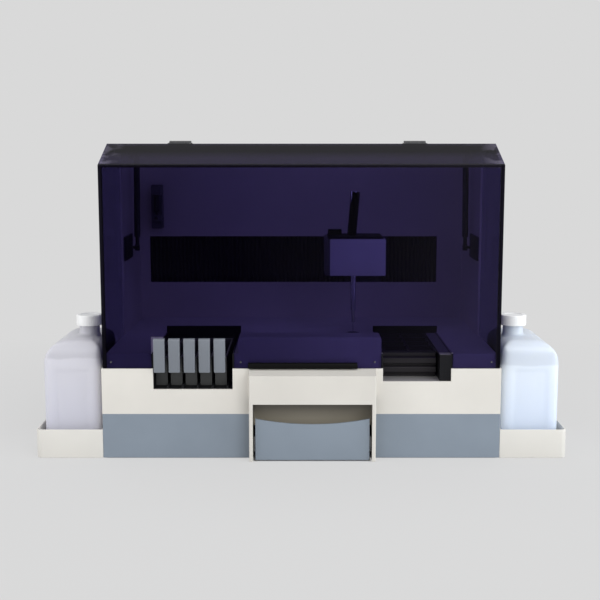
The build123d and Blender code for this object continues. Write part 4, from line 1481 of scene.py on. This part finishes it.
@dataclass
class Fasteners:
    """The screws of the back cover and of the hinges, and the studs on the hood's lower edge."""

    finishes: Finishes
    cover_radius: float = 0.0036
    cover_height: float = 0.0018
    cover_rows: int = 4
    hinge_radius: float = 0.0031
    hinge_height: float = 0.0014
    hinge_half: float = 0.024
    hinge_side: float = 0.015
    hinge_reach: Span = (0.007, 0.022)
    leaf: float = 0.0025
    stud_radius: float = 0.0018
    stud_height: float = 0.0012
    stud_up: float = 0.185
    stud_places: Sequence[float] = (-0.356, -0.1135, 0.1375, 0.356)

    def cover(self) -> Screws:
        """The back cover's screws, in two upright rows.

        Returns:
            The screws.
        """
        x, y, z = span("cover_screws")
        radius, height = self.cover_radius, self.cover_height
        gap = (z[1] - z[0] - 2 * radius) / (self.cover_rows - 1)
        places = [
            (across, y[1] - height, z[0] + radius + row * gap)
            for across in (x[0] + radius, x[1] - radius)
            for row in range(self.cover_rows)
        ]
        name, slot, nodes = "cover_screws_dressed", "steel_bright", ("cover_screws",)
        return Screws(name, places, (0, 1, 0), radius, height, self.finishes, slot, "base", nodes)

    def hinge(self, body: str, node: str) -> Screws:
        """The screws of the hinge leaves that one body carries.

        Args:
            body: the body.
            node: the node of its leaves.

        Returns:
            The screws.
        """
        x, y, _ = span(node)
        roof = span("hood_shell")[Z][1] + self.leaf
        rear, inward = (y[0], 1) if body == "hood" else (y[1], -1)
        places = [
            (across + side * self.hinge_side, rear + inward * reach, roof)
            for across in (x[0] + self.hinge_half, x[1] - self.hinge_half)
            for side in (-1, 1)
            for reach in self.hinge_reach
        ]
        size = (self.hinge_radius, self.hinge_height)
        return Screws(
            f"hinge_screws_{body}", places, (0, 0, 1), *size, self.finishes, "black_metal", body
        )

    def studs(self) -> Screws:
        """The studs on the hood's lower edge.

        Returns:
            The studs.
        """
        front = span("hood_shell")[Y][0]
        places = [(across, front, self.stud_up) for across in self.stud_places]
        size = (self.stud_radius, self.stud_height)
        return Screws(
            "hood_studs", places, (0, -1, 0), *size, self.finishes, "hinge_black", "hood"
        )

    def build(self) -> None:
        """Builds every set."""
        self.cover().build()
        self.hinge("hood", "hood_hinge_leaves").build()
        self.hinge("base", "fixed_hinge_leaves").build()
        self.studs().build()


@dataclass(frozen=True)
class Lamp:
    """One soft square lamp that looks at the object."""

    name: str
    place: Triple
    size: float
    power: float
    colour: Colour = (1.0, 1.0, 1.0)
    aim: Triple = (0.0, 0.0, 0.3)

    def build(self) -> None:
        """Hangs the lamp."""
        data = bpy.data.lights.new(self.name, "AREA")
        data.color = self.colour
        data.size = self.size
        data.energy = self.power
        lamp = bpy.data.objects.new(self.name, data)
        lamp.location = self.place
        run = Vector(self.aim) - Vector(self.place)
        lamp.rotation_euler = run.to_track_quat("-Z", "Y").to_euler()
        bpy.context.scene.collection.objects.link(lamp)


@dataclass
class Studio:
    """Pale floor and backdrop, soft lamps and the photograph's camera."""

    pale: Colour = linear(217, 217, 217)
    camera_place: Triple = (-0.0025, -2.279, 0.5816)
    camera_pitch: float = 8.0
    camera_lens: float = 64.86
    camera_sensor: float = 36.0
    world_colour: Colour = (0.62, 0.63, 0.65)
    world_light: float = 0.8
    floor_colour: Colour = (0.66, 0.66, 0.66)
    floor_roughness: float = 0.9
    floor_reach: float = 12.0
    floor_paleness: float = 0.75
    floor_fade: Span = (0.5, 1.3)
    body_half: Span = (0.372, 0.366)
    body_front: Span = (-0.292, -0.288)
    body_back: Span = (0.30, 0.29)
    bezel_middle: float = 0.02
    bezel_half: Span = (0.112, 0.109)
    bezel_front: Span = (-0.316, -0.313)
    lamps: Sequence[Lamp] = (
        Lamp("key", (1.9, -3.2, 2.4), 2.4, 66.0),
        Lamp("fill", (-2.2, -3.0, 1.8), 2.6, 17.0),
        Lamp("top", (0.0, 0.2, 3.2), 2.6, 26.0),
        Lamp("side_left", (-3.2, -1.2, 0.9), 1.8, 26.0),
        Lamp("side_right", (3.2, -1.2, 0.9), 1.8, 42.0, (0.9, 0.96, 1.0)),
    )

    def build_world(self) -> None:
        """World light, with the backdrop's colour for the camera and for reflections."""
        recipe = Recipe("studio", "worlds", "World")
        inputs = {"Color": self.world_colour, "Strength": self.world_light}
        light = recipe.node("ShaderNodeBackground", {}, inputs)
        shown = recipe.node("ShaderNodeBackground", {}, {"Color": self.pale})
        bpy.context.scene.world = recipe.layered(recipe.seen(), light, shown)

    def build_floor(self) -> None:
        """Floor that takes the object's shadow and fades to the backdrop's colour."""
        Piece.only()
        bpy.ops.mesh.primitive_plane_add(size=self.floor_reach)
        floor = bpy.context.active_object
        floor.name = "floor"
        recipe = Recipe("floor")
        across, back, _ = recipe.axes()
        distance = (across.maths("POWER", 2.0) + back.maths("POWER", 2.0)).maths("SQRT")
        far = distance.band(*self.floor_fade)
        plainness = far * (1.0 - self.floor_paleness) + self.floor_paleness
        body = across.maths("ABSOLUTE").band(*self.body_half) * back.band(*self.body_front)
        beside = (across - self.bezel_middle).maths("ABSOLUTE")
        bezel = beside.band(*self.bezel_half) * back.band(*self.bezel_front)
        covered = body.maths("MAXIMUM", bezel) * back.band(*self.body_back)
        share = plainness * (1.0 - covered) * recipe.seen()
        inputs = {"Base Color": self.floor_colour, "Roughness": self.floor_roughness}
        lit = recipe.node("ShaderNodeBsdfPrincipled", {}, inputs)
        shown = recipe.node("ShaderNodeEmission", {}, {"Color": self.pale})
        floor.data.materials.append(recipe.layered(share, lit, shown))

    def build_camera(self) -> None:
        """The photograph's camera."""
        data = bpy.data.cameras.new("camera")
        data.lens = self.camera_lens
        data.sensor_width = self.camera_sensor
        camera = bpy.data.objects.new("camera", data)
        camera.location = self.camera_place
        camera.rotation_euler = (math.radians(90 - self.camera_pitch), 0.0, 0.0)
        bpy.context.scene.collection.objects.link(camera)
        bpy.context.scene.camera = camera

    def build(self) -> None:
        """Sets up the whole studio."""
        bpy.context.scene.view_settings.view_transform = "Standard"
        self.build_world()
        self.build_floor()
        for lamp in self.lamps:
            lamp.build()
        self.build_camera()
        log.info("studio is set")


def main() -> None:
    """Builds the finishes, the dressed pieces and the studio, in that order."""
    finishes = Finishes()
    finishes.build()
    for side, word in ((-1, "left"), (1, "right")):
        Bottle(f"bottle_{word}", side, finishes).build()
        Cap(f"cap_{word}", finishes).build()
        SideTray(f"tray_{word}", side, finishes).build()
        Bellows(f"bellows_{word}", side < 0, finishes).build()
    for index in range(1, 6):
        RackHandle(index, finishes).build()
    Head(finishes).build()
    SyringePump(finishes).build()
    Grip(finishes).build()
    Fasteners(finishes).build()
    Studio().build()


if __name__ == "__main__":
    main()
